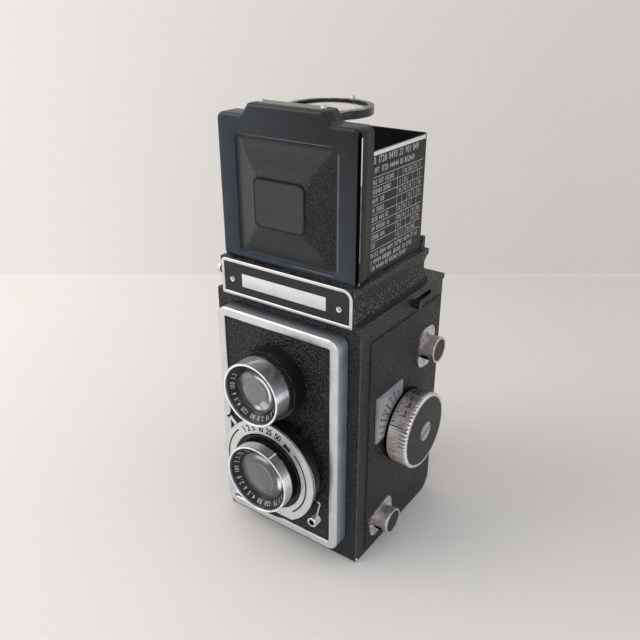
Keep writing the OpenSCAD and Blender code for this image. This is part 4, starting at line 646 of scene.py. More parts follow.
def buildLidTrim(s, lid):
    w, t, f, p, m = (lid[key] for key in ("halfWidth", "tabHigh", "front", "panelHalf", "panelMiddle"))
    # the bare edge is white on its upper part as a painted highlight
    path = [(w + lift, f + y) for lift, y in zip((0.03, 0.03, 0.02), s["bare"])]
    flat = [spot(x, y, z) for z in s["bareHeights"] for x, y in path]
    edge = meshFrom(flat, gridFaces(len(s["bareHeights"])), [1, 1, 1, 1, 0, 0])
    addPiece("lidBareEdge", edge, "camera", ["whitePrint", "bareEdge"], 60)
    # painted highlight lines along the panel's inner edges
    lines = drawLine(p + 0.25, m - p + 2.0, p + 0.25, m + p - 2.2, 0.8)
    lines += drawLine(3.0, m - p - 0.2, p - 2.0, m - p - 0.2, 0.6)
    lines += drawLine(-p + 6.0, m + p + 0.1, p - 2.4, m + p + 0.1, 0.4)
    printOn("borderLines", lines, lambda u, v: spot(u, f - 0.02, v), "camera", "borderShine")
    half, y0, y1 = s["strip"]
    strip = [[spot(x, y, t + lift) for x, y in ((-half, y0), (half, y0), (half, y1), (-half, y1))]
             for lift in (-0.02, 0.2, 0.24)]
    addPiece("tabStrip", stackLoops(strip, caps=(False, True)), "camera", "tabSteel", 40)
    for side in (-1, 1):
        ear = [[spot(x, y, z) for y, z in s["ear"]] for x in sorted(side * x for x in s["earSides"])]
        ear = stackLoops(ear, caps=(True, True))
        addPiece("magnifierEar", ear, "camera", "slateEnamel")
        x, y = s["stud"]
        addPiece("tabStud", turnedZ(s["dome"], side * x, y, 24), "camera", "brushedSteel", 60)


buildLid(lidSettings)
buildLidTrim(trimSettings, lidSettings)
print("lid built")

# name plate: bright border round a black field and a bare white label
plateSettings = {"halfWidth": 34.3, "low": 120.6, "high": 137.4, "corner": 4.5, "border": 1.5, "face": -0.6,
                 "label": (-22.7, 21.5, 125.7, 131.7), "screws": (28.0, 128.8), "slot": 125.0}


def buildNamePlate(s):
    w, b, y = s["halfWidth"], s["border"], s["face"]
    corners = [(-w, s["low"], 0.8), (w, s["low"], 0.8), (w, s["high"], s["corner"]),
               (-w, s["high"], s["corner"] / 2)]
    profile = [(0.02, 0.02), (0.04, -0.1), (0.14, -0.2), (b - 0.15, -0.2), (b - 0.03, -0.1), (b, 0.02)]
    loops = [frontLoop(corners, inset, y + depth) for inset, depth in profile]
    addPiece("plateBorder", stackLoops(loops), "camera", "satinChrome", 50)
    label = rectCorners(*s["label"], 0.3)
    profile = [(0, 0.02), (0.02, -0.08), (0.1, -0.14)]
    loops = [frontLoop(label, inset, y + depth) for inset, depth in profile]
    addPiece("plateLabel", stackLoops(loops, caps=(False, True)), "camera", "labelWhite", 50)
    across, height = s["screws"]
    c, d = (1.1 * k for k in around(s["slot"]))
    # the slots are flat dark lines: painted shade in their recesses
    slots = []
    for x in (-across, across):
        slots += drawLine(x - c, height - d, x + c, height + d, 0.5)
    printOn("screwSlots", slots, lambda u, v: spot(u, y - 0.46, v), "camera", "blackPrint")


buildNamePlate(plateSettings)

# lens board frame: a pressed and plated band, satin on its sides, tinted blue there as a painted reflection
boardSettings = {"halfWidth": 32.3, "low": 9.4, "high": 117.3, "corner": 5.0, "front": -7.7, "back": -0.3,
                 "band": 4.3, "metal": 1.1, "outer": 0.8, "inner": 0.6, "floor": -6.6}


def buildBoardFrame(s):
    corners = rectCorners(-s["halfWidth"], s["halfWidth"], s["low"], s["high"], s["corner"])
    f, o, i, b = s["front"], s["outer"], s["inner"], s["back"]
    profile = [(0, b), (0, (b + f) / 2)]
    profile += [(o * (1 - c), f + o * (1 - d)) for c, d in map(around, range(0, 91, 15))]
    profile += [(s["band"] - i + i * d, f + i * (1 - c)) for c, d in map(around, range(0, 91, 18))]
    profile += [(s["band"], s["floor"] - 0.02), (s["metal"], s["floor"]), (s["metal"], b)]
    loops = [frontLoop(corners, inset, y, 12) for inset, y in profile]
    mesh = stackLoops(loops, closed=True, bands=[1, 1, 1] + [0] * (len(loops) - 3))
    # painted shade: the outer side along the top darkens, most towards the rear
    storeTone(mesh, lambda x, y, z: (z - s["high"] + 2.5) / 2.5 * (0.35 + 0.62 * (y - f) / (b - f)))
    band = addPiece("boardFrame", mesh, "lens_unit", ["satinChrome", "dullPlating"], 40)
    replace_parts(band, "board_frame")


buildBoardFrame(boardSettings)
print("front built")

# lens rims, with painted streaks of reflected light round them as pairs of direction and tone
rimSettings = {
    "viewing": {
        "z": viewAxis, "radius": 14.6, "inner": 13.5, "front": -25.0, "back": -15.0, "foot": 1.9,
        "node": "viewing_lens_rim",
        "shine": ((-70, 0.0), (-35, 0.04), (-12, 0.2), (4, 0.3), (8, 1.0), (15, 1.0), (19, 0.36),
                  (30, 0.16), (45, 0.05), (62, 0.04), (78, 0.16), (100, 0.24), (130, 0.45), (180, 0.6),
                  (230, 0.3), (290, 0.0)),
    },
    "taking": {
        "z": takeAxis, "radius": 16.5, "inner": 15.5, "front": -23.7, "back": -18.5, "foot": 0.4,
        "node": "taking_lens_rim",
        "shine": ((-70, 0.12), (-40, 0.2), (-15, 0.42), (5, 0.6), (15, 1.0), (23, 0.95), (30, 0.3),
                  (40, 0.1), (52, 0.06), (60, 0.08), (75, 0.14), (95, 0.25), (120, 0.45), (180, 0.7),
                  (230, 0.4), (290, 0.12)),
    },
}


def buildRim(name, s):
    r, q, f, b, k = s["radius"], s["inner"], s["front"], s["back"], s["foot"]
    profile = [(r, b - k), (r, b - k - 0.3), (r, f + 0.9), (r, f + 0.5), (r - 0.1, f + 0.2),
               (r - 0.3, f + 0.04), (r - 0.5, f), (q + 0.25, f + 0.05), (q + 0.05, f + 0.25), (q, f + 0.6),
               (q, b - k)]

    def shine(x, y, z):  # painted reflection: bright at the lip, streaked along the outside; painted shade inside
        if y < f + 0.15:
            return 0.95
        if math.hypot(x, z - s["z"]) <= q + 0.3:
            return 0.3
        turn = (math.degrees(math.atan2(z - s["z"], x)) + 70) % 360 - 70
        for (start, low), (end, high) in zip(s["shine"], s["shine"][1:]):
            if turn <= end:
                return low + (high - low) * (turn - start) / (end - start)

    mesh = turnedY(profile, s["z"], closed=True)
    storeTone(mesh, shine)
    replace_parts(addPiece(name + "Rim", mesh, "lens_unit", "rimChrome", 30), s["node"])
    foot = [(q, b - k), (r - 0.35, b - k), (r - 0.35, b - k * 0.8), (r - 0.05, b - k * 0.75),
            (r, b - k * 0.65), (r, b), (q, b)]
    mesh = turnedY(foot, s["z"], closed=True)
    addPiece(name + "RimFoot", mesh, "lens_unit", "lensBlack", 30)


for rimName, rimLook in rimSettings.items():
    buildRim(rimName, rimLook)

# plain numbers round the cones inside the rims, and a domed element with painted reflections, highlights and
# shade; each zone is a middle in u and v, an inner and an outer radius, the directions from and to, and a
# tone
ringSettings = {
    "viewing": {
        "z": viewAxis, "wide": 13.2, "narrow": 9.6, "front": -24.0, "back": -21.0, "height": 1.5,
        "start": 338.0, "end": 148.0, "text": "3.5 75 2.8 80 120 4.5 6 100 3.5",
        "node": "viewing_lens_glass", "bulge": 1.0, "base": 0.16,
        "zones": [
            (0.0, 0.0, 0.84, 1.3, 60, 270, 0.07), (0.05, 0.05, 0.72, 1.3, 158, 222, 0.035),
            (0.0, 0.0, 0.66, 0.9, 222, 258, 0.03), (-0.05, -0.05, 0.76, 0.95, 88, 132, 0.24),
            (0.0, 0.0, 0.8, 1.0, 96, 103, 0.02), (-0.1, 0.0, 0.5, 0.56, 200, 330, 0.11),
            (0.0, 0.05, 0.30, 0.34, 30, 140, 0.12), (0.0, 0.0, 0.52, 0.95, 300, 332, 0.5),
            (0.0, 0.0, 0.64, 0.84, 272, 290, 0.85), (0.0, 0.0, 0.88, 1.3, 270, 425, 0.05),
            (0.03, 0.0, 0.77, 0.85, 350, 445, 1.0), (0.0, 0.0, 0.66, 0.74, 345, 420, 0.09),
        ],
    },
    "taking": {
        "z": takeAxis, "wide": 15.2, "narrow": 11.4, "front": -22.7, "back": -19.7, "height": 1.7,
        "start": 338.0, "end": 118.0, "text": "3.5 75 120 80 4.5 6 2.8 100 3.5 75 12",
        "node": "taking_lens_glass", "bulge": 1.6, "base": 0.075,
        "zones": [
            (0.0, 0.0, 0.7, 1.3, 95, 200, 0.1), (-0.07, -0.08, 0.0, 0.68, 0, 360, 0.115),
            (-0.07, -0.08, 0.55, 0.67, 150, 330, 0.09), (-0.07, -0.08, 0.67, 0.70, 325, 450, 0.26),
            (-0.02, -0.02, 0.76, 0.79, 330, 430, 0.16), (0.0, 0.0, 0.80, 0.93, 66, 104, 0.5),
            (0.0, 0.0, 0.70, 0.78, 20, 62, 0.05), (0.0, 0.0, 0.84, 1.0, 347, 374, 1.0),
            (0.0, 0.0, 0.86, 1.2, 285, 340, 0.045), (0.0, 0.0, 0.9, 1.3, 180, 275, 0.03),
        ],
    },
}


def softStep(value, low, high, soft):  # 1 between two limits, with soft ends
    return max(0.0, min(1.0, (value - low) / soft + 0.5, (high - value) / soft + 0.5))


def paintTone(s, u, v):
    tone = s["base"]
    for cu, cv, near, far, start, end, paint in s["zones"]:
        r = math.hypot(u - cu, v - cv)
        turn = math.degrees(math.atan2(v - cv, u - cu)) % 360
        share = softStep(r, near or -1, far, 0.05)
        if end - start < 360:
            share *= max(softStep(turn, start, end, 16), softStep(turn + 360, start, end, 16))
        tone += (paint - tone) * share
    return tone


def buildDome(name, s, rings=44, steps=120):
    r, y, z = s["narrow"] - 0.02, s["back"], s["z"]
    places = [1 - k / rings for k in range(rings)] + [0.004]
    loops = [[spot(r * q * c, y - s["bulge"] * (1 - q * q), z + r * q * d) for c, d in circle(steps)]
             for q in places]
    behind = [Vector((c.x, c.y + 0.002, c.z)) for c in loops[0]]
    mesh = stackLoops([behind] + loops, caps=(True, True))
    storeTone(mesh, lambda across, along, up: paintTone(s, across / r, (up - z) / r))
    dome = addPiece(name + "FrontElement", mesh, "lens_unit", "lensGlow", 50)
    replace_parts(dome, s["node"])


def buildRingNumbers(name, s):
    def lay(u, v):
        share = (s["wide"] - math.hypot(u, v)) / (s["wide"] - s["narrow"])
        return spot(u, s["front"] + (s["back"] - s["front"]) * share - 0.06, s["z"] + v)

    middle = (s["wide"] + s["narrow"]) / 2 + 0.15
    shapes = writeRound(s["text"], s["height"], middle, s["start"], s["end"], 0.008)
    printOn(name + "Numbers", shapes, lay, "lens_unit", "greyPrint")


for ringName, ringLook in ringSettings.items():
    buildRingNumbers(ringName, ringLook)
    buildDome(ringName, ringLook)

# shutter face: arcs, plain speed numbers, a card in the small window with painted shadow along two sides,
# and an index line on the rim
shutterSettings = {"front": -15.6, "middle": 21.9, "numbers": "1 2 5 10 25 50", "start": 126.0, "end": 70.0,
                   "height": 3.0, "rightArc": (21.2, 21.95, -50, 44), "leftArc": (22.4, 23.1, 135, 196),
                   "window": (19.4, 22.1, 56.0, 2.0), "indexAngle": 62.0, "indexWidth": 0.6}


def buildShutterMarks(s):
    def lay(u, v):
        return spot(u, s["front"] - 0.04, takeAxis + v)

    shapes = writeRound(s["numbers"], s["height"], s["middle"], s["start"], s["end"], 0.03)
    shapes += drawArc(*s["rightArc"]) + drawArc(*s["leftArc"])
    printOn("shutterMarks", shapes, lay, "lens_unit", "blackPrint")
    low, high, angle, half = s["window"]
    c, d = around(angle)

    def layCard(u, v, lift=0.0):  # u across the window, v outwards
        return spot(v * c - u * d, s["front"] + 0.44 - lift, takeAxis + v * d + u * c)

    card = [[(-half, low), (half, low), (half, high), (-half, high)]]
    printOn("windowCard", card, layCard, "lens_unit", "windowCard")
    # two dark bars along the card's inner edge and one side are painted shadow of the window's recess; the
    # two thin lines are print
    marks = drawLine(-half, low + 0.7, half, low + 0.7, 1.4)
    marks += drawLine(half - 0.5, low, half - 0.5, high, 1.0)
    for u, width in ((-0.9, 0.5), (0.2, 0.4)):
        marks += drawLine(u, low + 1.2, u, high - 0.4, width)
    printOn("windowShadeAndMarks", marks, lambda u, v: layCard(u, v, 0.04), "lens_unit", "blackPrint")
    rim = rimSettings["taking"]
    r = rim["radius"]

    def layIndex(u, v):  # u round the rim in degrees, v along it
        c, d = around(u)
        return spot((r + 0.05) * c, v, takeAxis + (r + 0.05) * d)

    middle, span = s["indexAngle"], math.degrees(s["indexWidth"] / r) / 2
    line = [(middle - span, rim["back"]), (middle + span, rim["back"])]
    line += [(u, rim["front"] + 0.4) for u, v in reversed(line)]
    printOn("rimIndex", [line], layIndex, "lens_unit", "whitePrint")


buildShutterMarks(shutterSettings)

# a painted highlight on the edge of the shutter's drum, and the head of the hood catch
edgeSettings = {"radius": 25.62, "front": -14.62, "from": -14.0, "to": 32.0, "width": 0.3, "steps": 24}
catchSettings = {"y": 5.0, "z": 129.3, "foot": -35.4, "tip": -41.0, "radius": 2.5}


def buildSmallMetal(edge, catch):
    def lay(u, v):  # u in degrees round the axis, v along it
        c, d = around(u)
        return spot(edge["radius"] * c, v, takeAxis + edge["radius"] * d)

    f, steps = edge["front"], edge["steps"]
    turns = [edge["from"] + (edge["to"] - edge["from"]) * k / steps for k in range(steps + 1)]
    # thin at both ends
    tops = [f + edge["width"] * math.sin(math.pi * k / steps) + 0.02 for k in range(steps + 1)]
    arc = [[(turns[k], f), (turns[k + 1], f), (turns[k + 1], tops[k + 1]), (turns[k], tops[k])]
           for k in range(steps)]
    printOn("drumEdgeHighlight", arc, lay, "lens_unit", "whitePrint")
    r, x = catch["radius"], catch["tip"]
    profile = [(1.5, catch["foot"]), (1.5, x + 2.6), (r - 0.2, x + 2.4), (r, x + 2.0), (r, x + 0.9),
               (r * 0.9, x + 0.45), (r * 0.65, x + 0.15), (0.03, x)]
    head = turnedX(profile, catch["y"], catch["z"], 48)
    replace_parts(addPiece("catchHead", head, "catch", "brightChrome", 40), "hood_catch")


buildSmallMetal(edgeSettings, catchSettings)

# release lever: a thin wire with a hook, and a knurled post with a bright hollow end
releaseSettings = {
    "path": ((24.7, -11.6, -8.5), (25.7, -11.6, -8.45), (26.1, -11.6, -9.1), (25.2, -13.2, -16.6)),
    "wire": 0.42, "post": (24.04, -18.11), "radius": 2.4, "front": -15.15, "back": -11.3, "bore": 1.25,
    "teeth": 22, "cut": 0.16,
}


def buildRelease(s):
    path, loops = s["path"], []
    for k, (x, y, z) in enumerate(path):
        before, after = path[max(k - 1, 0)], path[min(k + 1, len(path) - 1)]
        along = Vector((after[0] - before[0], 0, after[2] - before[2])).normalized()
        across = Vector((along.z, 0, -along.x))
        middle = spot(x, y, takeAxis + z)
        loops.append([middle + (across * c + Vector((0, d, 0))) * s["wire"] * 0.001 for c, d in circle(10)])
    wire = stackLoops(loops, caps=(True, True))
    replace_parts(addPiece("releaseWire", wire, "release", "brushedSteel", 60), "release_lever")
    x, z = s["post"][0], takeAxis + s["post"][1]
    r, f, b, q = s["radius"], s["front"], s["back"], s["bore"]
    profile = [(r, b), (r, f + 1.0), (r - 0.12, f + 0.9), (r - 0.05, f + 0.7), (r, f + 0.3),
               (r - 0.15, f + 0.08), (r - 0.35, f), (q + 0.2, f + 0.02), (q, f + 0.2), (q, f + 2.0),
               (0.02, f + 2.2)]
    loops = []
    for row, (radius, y) in enumerate(profile):
        cut = s["cut"] if row < 2 else 0.0  # the teeth end below the bright head
        radii = [radius - cut * (k % 6 in (0, 5)) for k in range(s["teeth"] * 6)]
        loops.append([spot(x + a * c, y, z + a * d) for a, (c, d) in zip(radii, circle(len(radii)))])
    mesh = stackLoops(loops, caps=(True, True), bands=[2, 1] + [0] * 5 + [1] * 3)
    addPiece("releasePost", mesh, "release", ["brightChrome", "darkSteel", "satinChrome"], 35)


buildRelease(releaseSettings)

# focus knob: a fluted grip, plain on the half that carries the distance scale
knobSettings = {
    "y": 38.0, "z": 57.8, "back": 40.3, "end": 50.5, "rear": 17.75, "front": 18.35, "face": 16.62,
    "floor": 49.7, "flutes": 60, "depth": 0.75, "scale": (8.0, 152.0), "notch": 48.5, "runOut": (44.6, 1.8),
    "numbers": ["1", "1.2", "1.5", "2", "2.5", "3", "4", "6", "10"], "first": 145.0, "step": -14.5,
    "height": 2.5,
    "shadowRing": ((16.6, 39.4), (17.9, 39.45), (18.05, 39.6), (18.05, 40.1), (17.6, 40.28), (16.6, 40.28)),
}


def barrelRadius(s, x):
    return s["rear"] + (s["front"] - s["rear"]) * (x - s["back"]) / (s["end"] - s["back"])


def buildKnob(s, steps=840):
    start, end, notch, face = s["back"], s["end"], s["notch"], s["face"]
    stations = [(start, -0.25), (start + 0.3, 0.0), (44.0, 0.0), (45.4, 0.0), (46.4, 0.0), (notch, 0.0),
                (notch + 0.3, 0.0), (end - 0.75, 0.0), (end - 0.3, -0.25), (end, -0.75)]
    low, high = s["scale"]
    runStart, runLength = s["runOut"]
    ring = circle(steps)

    def knobLoop(x, radii):
        return [spot(x, s["y"] + r * c, s["z"] + r * d) for r, (c, d) in zip(radii, ring)]

    loops = [knobLoop(start, [0.9 * (s["rear"] - 0.25)] * steps)]
    knobDarkening = [0.0] * steps  # darker in the grooves, and painted shade over the scale half, darkest near its top
    for x, bevel in stations:
        radii = []
        run = max(0.1, min(1.0, (x - runStart) / runLength))
        for k in range(steps):
            turn = 360 * k / steps
            onScale = low < turn < high and x <= notch
            groove = (1 - abs(math.sin(math.radians(turn * s["flutes"] / 2)))) ** 1.6 * run
            if onScale or x == start:
                groove = 0
            radii.append(barrelRadius(s, x) + bevel - s["depth"] * groove)
            knobDarkening.append(0.42 + 0.42 * math.exp(-((turn - 75) / 32) ** 2) if onScale else groove * 0.8)
        loops.append(knobLoop(x, radii))
    inside = ((face + 0.25, end), (face, end - 0.15), (face, s["floor"]))
    loops += [knobLoop(x, [radius] * steps) for radius, x in inside]
    mesh = stackLoops(loops, caps=(True, False), bands=[0] * (len(stations) - 2) + [1] * (len(inside) + 2))
    knobDarkening += [0.0] * steps * len(inside)
    mesh.attributes.new("tone", "FLOAT", "POINT").data.foreach_set("value", knobDarkening)
    grip = addPiece("knobGrip", mesh, "focus_drive", ["knobMetal", "brightChrome"], 28)
    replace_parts(grip, "focus_knob")
    # a dead black ring behind the knob is painted shadow between the knob and the plate
    shadowRing = turnedX(s["shadowRing"], s["y"], s["z"], closed=True)
    addPiece("knobShadowRing", shadowRing, "focus_drive", "deepBlack")


def buildKnobScale(s):
    def lay(u, v):  # u round the barrel in degrees, v along it
        c, d = around(u)
        r = barrelRadius(s, v) + 0.03
        return spot(v, s["y"] + r * c, s["z"] + r * d)

    perDegree = math.radians(1) * s["rear"]
    shapes = []
    for i, text in enumerate(s["numbers"]):
        middle = s["first"] + s["step"] * i
        for shape in writeNumber(text, s["height"], 0, 0, 90, 0.9, 0.035):
            shapes.append([(middle + x / perDegree, 44.9 + y) for x, y in shape])
        shapes += drawBar(middle, 0.8, 40.7, 42.6)
        for k in (1, 2, 3):
            shapes += drawBar(middle + s["step"] * k / 4, 0.5, 40.7, 41.7)
    shapes += drawBar(s["scale"][1], 0.6, 40.5, 49.6)
    printOn("knobScale", shapes, lay, "focus_drive", "blackPrint")


buildKnob(knobSettings)
buildKnobScale(knobSettings)

# depth scale plate: a thin border, and lines fanning from the knob's axis
depthSettings = {"x": 39.24, "centre": (38.0, 57.8), "first": 172.0, "step": -8.0, "near": 19.3,
                 "far": 22.9, "place": 24.4, "height": 1.9, "border": (14.3, 34.6, 60.9, 81.9), "line": 0.28,
                 "numbers": ["22", "16", "11", "8", "5.6", "8", "11", "16", "22"]}


def buildDepthMarks(s):
    cy, cz = s["centre"]
    y0, y1, z0, z1 = s["border"]
    shapes = drawLine(y0, z0, y0, z1, s["line"], 2) + drawLine(y0, z1, y1, z1, s["line"], 2)
    for i, text in enumerate(s["numbers"]):
        turn = s["first"] + s["step"] * i
        c, d = around(turn)
        near, far, place = ((cy + s[key] * c, cz + s[key] * d) for key in ("near", "far", "place"))
        shapes += drawLine(*near, *far, 0.5)
        if place[0] > y0 + 1.0 and place[1] < z1 - 1.0:
            shapes += writeNumber(text, s["height"], *place, turn - 90, 0.8, 0.03)
    printOn("depthMarks", shapes, lambda u, v: spot(s["x"], u, v), "camera", "blackPrint")


buildDepthMarks(depthSettings)

# printed table on the right hood panel: plain numbers in ruled rows
tableSettings = {"x": 32.74, "left": 12.6, "right": 54.4, "headings": ((184.9, 2.7), (181.0, 2.2)),
                 "firstLine": 178.4, "pitch": 3.69, "rows": 8, "notes": (146.9, 143.9, 141.2),
                 "height": 1.95, "divider": 33.4, "column": 4.15,
                 "values": ("2", "5", "10", "25", "50", "100", "75", "15"),
                 "edge": (12.0, 55.6, 186.7, 188.2)}


def numberRow(seed, z, height, start, end):  # groups of digits that fill a row, the same on each run
    shapes, u, k = [], start, seed
    while True:
        k = (k * 37 + 11) % 101
        word = str(12345679 * (k + 3))[1:3 + k % 5]
        width = len(word) * height * 0.62
        if u + width > end:
            return shapes
        shapes += writeNumber(word, height, u + width / 2, z, 0.0, 0.78, 0.014)
        u += width + height * 0.5


def buildTable(s):
    left, right, top, pitch, height = s["left"], s["right"], s["firstLine"], s["pitch"], s["height"]
    columns = range(5)
    shapes = []
    for k, (z, size) in enumerate(s["headings"]):
        shapes += numberRow(5 + k, z, size, left + 0.4 + 2.0 * k, right - 4.0 * k)
    shapes += drawLine(left, top, right, top, 0.25)
    for row in range(s["rows"]):
        z = top - (row + 1) * pitch
        shapes += drawLine(left, z, right, z, 0.25)
        middle = z + pitch / 2
        shapes += numberRow(17 * row + 3, middle, height, left + 1.5,
                            s["divider"] - 2.0 - 2.5 * ((row * 5) % 4))
        for k in columns:
            if (row * 3 + k * 7) % 8 > 1:
                text = s["values"][(row + 2 * k) % 8]
                u = s["divider"] + (k + 0.5) * s["column"]
                shapes += writeNumber(text, height * 0.95, u, middle, 0.0, 0.75, 0.014)
    for k in columns:
        u = s["divider"] + k * s["column"]
        shapes += drawLine(u, top, u, top - s["rows"] * pitch, 0.22)
    for k, z in enumerate(s["notes"]):
        shapes += numberRow(29 + k, z, height, left + 0.4, right - 3.0 * k)
    printOn("panelTable", shapes, lambda u, v: spot(s["x"], u, v), "right_panel", "greyPrint")
    y0, y1, z0, z1 = s["edge"]
    loops = []
    for i, lift in ((0, -0.03), (0.05, 0.04), (0.12, 0.06)):
        corners = ((y0 + i, z0 + i), (y1 - i, z0 + i), (y1 - i, z1 - i), (y0 + i, z1 - i))
        loops.append([spot(s["x"] + lift, y, z) for y, z in corners])
    addPiece("panelEdge", stackLoops(loops, caps=(False, True)), "right_panel", "whitePrint")


buildTable(tableSettings)
print("marks printed")

# pull knobs: a dark disc in each end, a bright lip round it and a slot along the neck
pullSettings = {
    "upper": {"y": 56.8, "z": 90.5, "body": "upper_knob"},
    "lower": {"y": 20.5, "z": 14.6, "body": "lower_knob"},
}
pullShape = {"neck": 6.3, "head": 6.3, "start": 39.4, "step": 43.7, "tip": 45.9, "recess": 5.3,
             "slotAngle": 206.0, "slotWidth": 2.2}


def buildPullKnob(name, s, p):
    r, t, q, y, z = p["head"], p["tip"], p["recess"], s["y"], s["z"]
    disc = [(q - 0.02, t - 0.48), (q - 0.1, t - 0.38), (3.0, t - 0.28), (0.05, t - 0.24)]
    addPiece(name + "Disc", turnedX(disc, y, z, 64), s["body"], "satinEnamel")
    lip = [(q, t - 0.3), (q + 0.1, t - 0.02), (q + 0.3, t + 0.06), (r - 0.25, t + 0.05),
           (r - 0.03, t - 0.1), (r + 0.04, t - 0.4), (r + 0.02, t - 0.7)]
    addPiece(name + "Lip", turnedX(lip, y, z, 96), s["body"], "brightChrome", 50)

    def lay(u, v):  # u round the neck in millimetres, v along it
        c, d = around(p["slotAngle"] + math.degrees(u / p["neck"]))
        return spot(v, y + (p["neck"] + 0.04) * c, z + (p["neck"] + 0.04) * d)

    # the slot is a flat dead black strip: painted shade in its recess
    slotLine = drawLine(0, p["start"], 0, p["step"] - 0.7, p["slotWidth"])
    printOn(name + "Slot", slotLine, lay, s["body"], "deepBlack")


for pullName, pullPlace in pullSettings.items():
    buildPullKnob(pullName, pullPlace, pullShape)

# long slot of the back latch, and the magnifier's glass with its stud
latchSettings = {"x": 38.04, "from": 50.25, "to": 58.6, "z": 117.5, "half": 1.25}
magnifierSettings = {"y": 33.0, "top": 200.3, "radius": 15.55, "edge": 199.0, "low": 197.4, "stud": 49.7}


def buildHoodParts(latch, s):
    h, z = latch["half"], latch["z"]
    # the slot is a flat dead black patch: painted shade in its recess
    shape = [(latch["to"] + h * c, z + h * d) for c, d in map(around, range(-90, 91, 15))]
    shape += [(latch["from"], z + h), (latch["from"], z - h)]
    printOn("latchSlot", [shape], lambda u, v: spot(latch["x"], u, v), "camera", "deepBlack")
    r, top, low, edge = s["radius"], s["top"], s["low"], s["edge"]
    crown = top - 0.15
    profile = [(0.05, low), (r * 0.7, low), (r, low + 0.2), (r, edge)]
    profile += [(r * q, crown - (crown - edge) * q * q) for q in (0.9, 0.75, 0.6, 0.4, 0.2, 0.003)]
    glassMesh = turnedZ(profile, 0, s["y"], 90, caps=(True, True))
    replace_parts(addPiece("magnifierGlass", glassMesh, "magnifier", "paleGlass", 40),
                "magnifier_lens")
    dome = [(1.2, -0.02), (1.2, 0.5), (1.05, 0.9), (0.95, 1.3), (0.7, 1.55), (0.03, 1.65)]
    stud = turnedZ([(q, top + lift) for q, lift in dome], 0, s["stud"], 90)
    addPiece("magnifierStud", stud, "magnifier", "brushedSteel", 50)


buildHoodParts(latchSettings, magnifierSettings)

# winding knob cap on the left side
capSettings = {"y": 56.8, "z": 90.5, "face": -46.7}


def buildCap(s):
    profile = ((10.2, -0.02), (10.1, 0.2), (9.7, 0.32), (8.8, 0.3), (8.5, 0.12), (8.2, 0.12), (4.0, 0.3),
               (1.0, 0.36), (0.03, 0.36))
    cap = turnedX([(r, s["face"] - lift) for r, lift in profile], s["y"], s["z"], 96)
    addPiece("windingCap", cap, "winder", "satinEnamel")


buildCap(capSettings)

# leather on the back door, cut away round the swing of the window's cover
backSettings = {"half": 35.6, "low": 7.0, "high": 117.0, "corner": 3.0, "face": 71.5, "thick": 0.4,
                "hole": (9.0, 46.2, 14.2)}


def buildBackLeather(s):
    corners = rectCorners(-s["half"], s["half"], s["low"], s["high"], s["corner"])
    far, t = s["face"], s["thick"]
    cx, cz, r = s["hole"]
    profile = ((0.0, 0.01), (0.02, t - 0.15), (0.18, t))
    outer = [frontLoop(corners, inset, far + y) for inset, y in profile]
    edges = [(r + inset, far + y) for inset, y in profile]
    inner = [[spot(cx + q * c, y, cz + q * d) for c, d in circle(90)] for q, y in edges]
    mesh = stackLoops(outer)
    joinWithBorder(mesh, stackLoops(inner), outer[-1], inner[-1])
    addPiece("backLeather", mesh, "door", "backGrain", 40)


buildBackLeather(backSettings)

# a pale line down the front right edge of the body, and the bright end of the hinge pin
edgeLineSettings = {"path": ((38.05, 0.45), (37.95, 0.06), (37.55, -0.05)),
                "heights": (3.0, 30.0, 62.0, 90.0, 118.0), "pin": (1.2, 1.2, 37.9)}


def buildEdgeLineAndPin(s):
    flat = [spot(x, y, z) for z in s["heights"] for x, y in s["path"]]
    line = meshFrom(flat, gridFaces(len(s["heights"])))
    addPiece("paleEdgeLine", line, "camera", "bareEdge", 80)
    y, z, x = s["pin"]
    cap = [(0.95, x), (0.95, x + 0.2), (0.75, x + 0.4), (0.4, x + 0.5), (0.02, x + 0.52)]
    addPiece("hingeCap", turnedX(cap, y, z, 32), "camera", "brightChrome", 50)


buildEdgeLineAndPin(edgeLineSettings)
print("side pieces built")

# studio: pale floor and wall in one sweep, soft light from the left
studioSettings = {
    "wall": 298.0, "cove": 2.0, "right": (0.8166, 0.5772), "near": -1500.0, "top": 1500.0,
    "halfWidth": 1800.0, "drop": -0.02, "leftTone": (0.80, 0.775, 0.735), "rightTone": (0.66, 0.638, 0.60),
    "world": 0.885,
    "lamps": (("keyLamp", (-1.1, -0.75, 1.15), 1.3, 18.0, (1.0, 0.97, 0.93)),
              ("fillLamp", (0.9, -1.3, 0.9), 1.2, 4.0, (0.95, 0.97, 1.0))),
}


def sweepFinish(s):
    mat = bpy.data.materials.new("paleSweep")
    mat.use_nodes = True
    tree = mat.node_tree
    shader = tree.nodes["Principled BSDF"]
    coords = addNode(tree, "ShaderNodeTexCoord").outputs["Object"]
    # painted light: the sweep is lighter on the left and darker on the right
    across = combine(tree, "DOT_PRODUCT", coords, (*s["right"], 0))
    tone = blendColours(tree, spread(tree, across, -0.25, 0.2, 0.0, 1.0), s["leftTone"], s["rightTone"])
    soft = calc(tree, "MULTIPLY", cloud(tree, coords, 3.0, 3.0)["Fac"], 0.06)
    tone = blendColours(tree, soft, tone, (1.0, 0.97, 0.93))
    height = addNode(tree, "ShaderNodeSeparateXYZ", {0: coords}).outputs[2]
    tone = blendColours(tree, spread(tree, height, 0.0, 0.002, 0.055, 0.0), tone, grey(0.0))
    tree.links.new(tone, shader.inputs["Base Color"])
    shader.inputs["Roughness"].default_value = 0.75
    hidden = addNode(tree, "ShaderNodeBsdfTransparent").outputs[0]  # seen from behind, the sweep is clear
    back = addNode(tree, "ShaderNodeNewGeometry").outputs["Backfacing"]
    mix = addNode(tree, "ShaderNodeMixShader", {0: back, 1: shader.outputs[0], 2: hidden})
    tree.links.new(mix.outputs[0], tree.nodes["Material Output"].inputs["Surface"])
    return mat


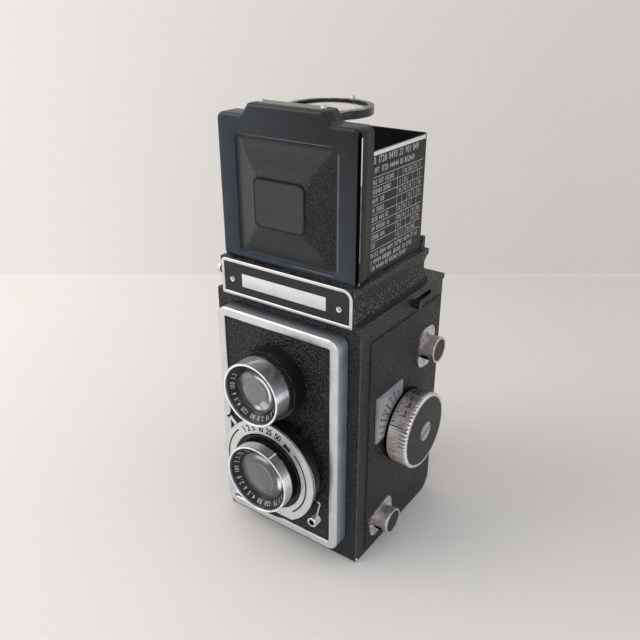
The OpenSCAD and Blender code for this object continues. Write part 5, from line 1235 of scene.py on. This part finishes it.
def buildSweep(s):
    right, ahead = Vector((*s["right"], 0)), Vector((-s["right"][1], s["right"][0], 0))
    wall, cove, drop = s["wall"], s["cove"], s["drop"]
    rows = [(s["near"], drop), (0.0, drop), (wall - cove, drop)]
    rows += [(wall - cove * (1 - d), cove * (1 - c)) for c, d in map(around, range(10, 91, 10))]
    rows += [(wall, s["top"])]
    verts = [(ahead * far + right * side + Vector((0, 0, z))) * 0.001 for far, z in rows
             for side in (-s["halfWidth"], 0.0, s["halfWidth"])]
    mesh = meshFrom(verts, gridFaces(len(rows)))
    mesh.shade_smooth()
    mesh.materials.append(sweepFinish(s))
    sweep = bpy.data.objects.new("studioSweep", mesh)
    scene.collection.objects.link(sweep)


def placeLamps(s):
    for name, place, size, energy, colour in s["lamps"]:
        data = bpy.data.lights.new(name, "AREA")
        data.size = size
        data.energy = energy
        data.color = colour
        lamp = bpy.data.objects.new(name, data)
        lamp.location = place
        lamp.rotation_euler = (Vector((0, 0, 0.1)) - Vector(place)).to_track_quat("-Z", "Y").to_euler()
        scene.collection.objects.link(lamp)


def buildWorld(s):
    world = bpy.data.worlds.new("studioWorld")
    scene.world = world
    world.use_nodes = True
    tree = world.node_tree
    plain = tree.nodes["Background"]
    plain.inputs["Color"].default_value = (0.93, 0.95, 1.0, 1)
    plain.inputs["Strength"].default_value = s["world"]
    way = addNode(tree, "ShaderNodeTexCoord").outputs["Generated"]
    parts = addNode(tree, "ShaderNodeSeparateXYZ", {0: way}).outputs
    left = spread(tree, parts[0], -0.8, 0.8, 1.0, 0.0)
    high = spread(tree, parts[2], -0.15, 0.6, 0.0, 1.0)
    room = blendColours(tree, left, (0.70, 0.75, 0.80), (0.95, 0.93, 0.90))
    room = blendColours(tree, calc(tree, "MULTIPLY", high, 0.5), room, (0.85, 0.84, 0.82))
    seen = addNode(tree, "ShaderNodeBackground", {"Color": room, "Strength": 1.0}).outputs[0]
    rays = addNode(tree, "ShaderNodeLightPath").outputs
    direct = calc(tree, "MAXIMUM", rays["Is Camera Ray"], rays["Is Glossy Ray"])
    direct = calc(tree, "MAXIMUM", direct, rays["Is Transmission Ray"])
    mix = addNode(tree, "ShaderNodeMixShader", {0: direct, 1: plain.outputs[0], 2: seen})
    tree.links.new(mix.outputs[0], tree.nodes["World Output"].inputs["Surface"])


buildSweep(studioSettings)
placeLamps(studioSettings)
buildWorld(studioSettings)
print("studio set")
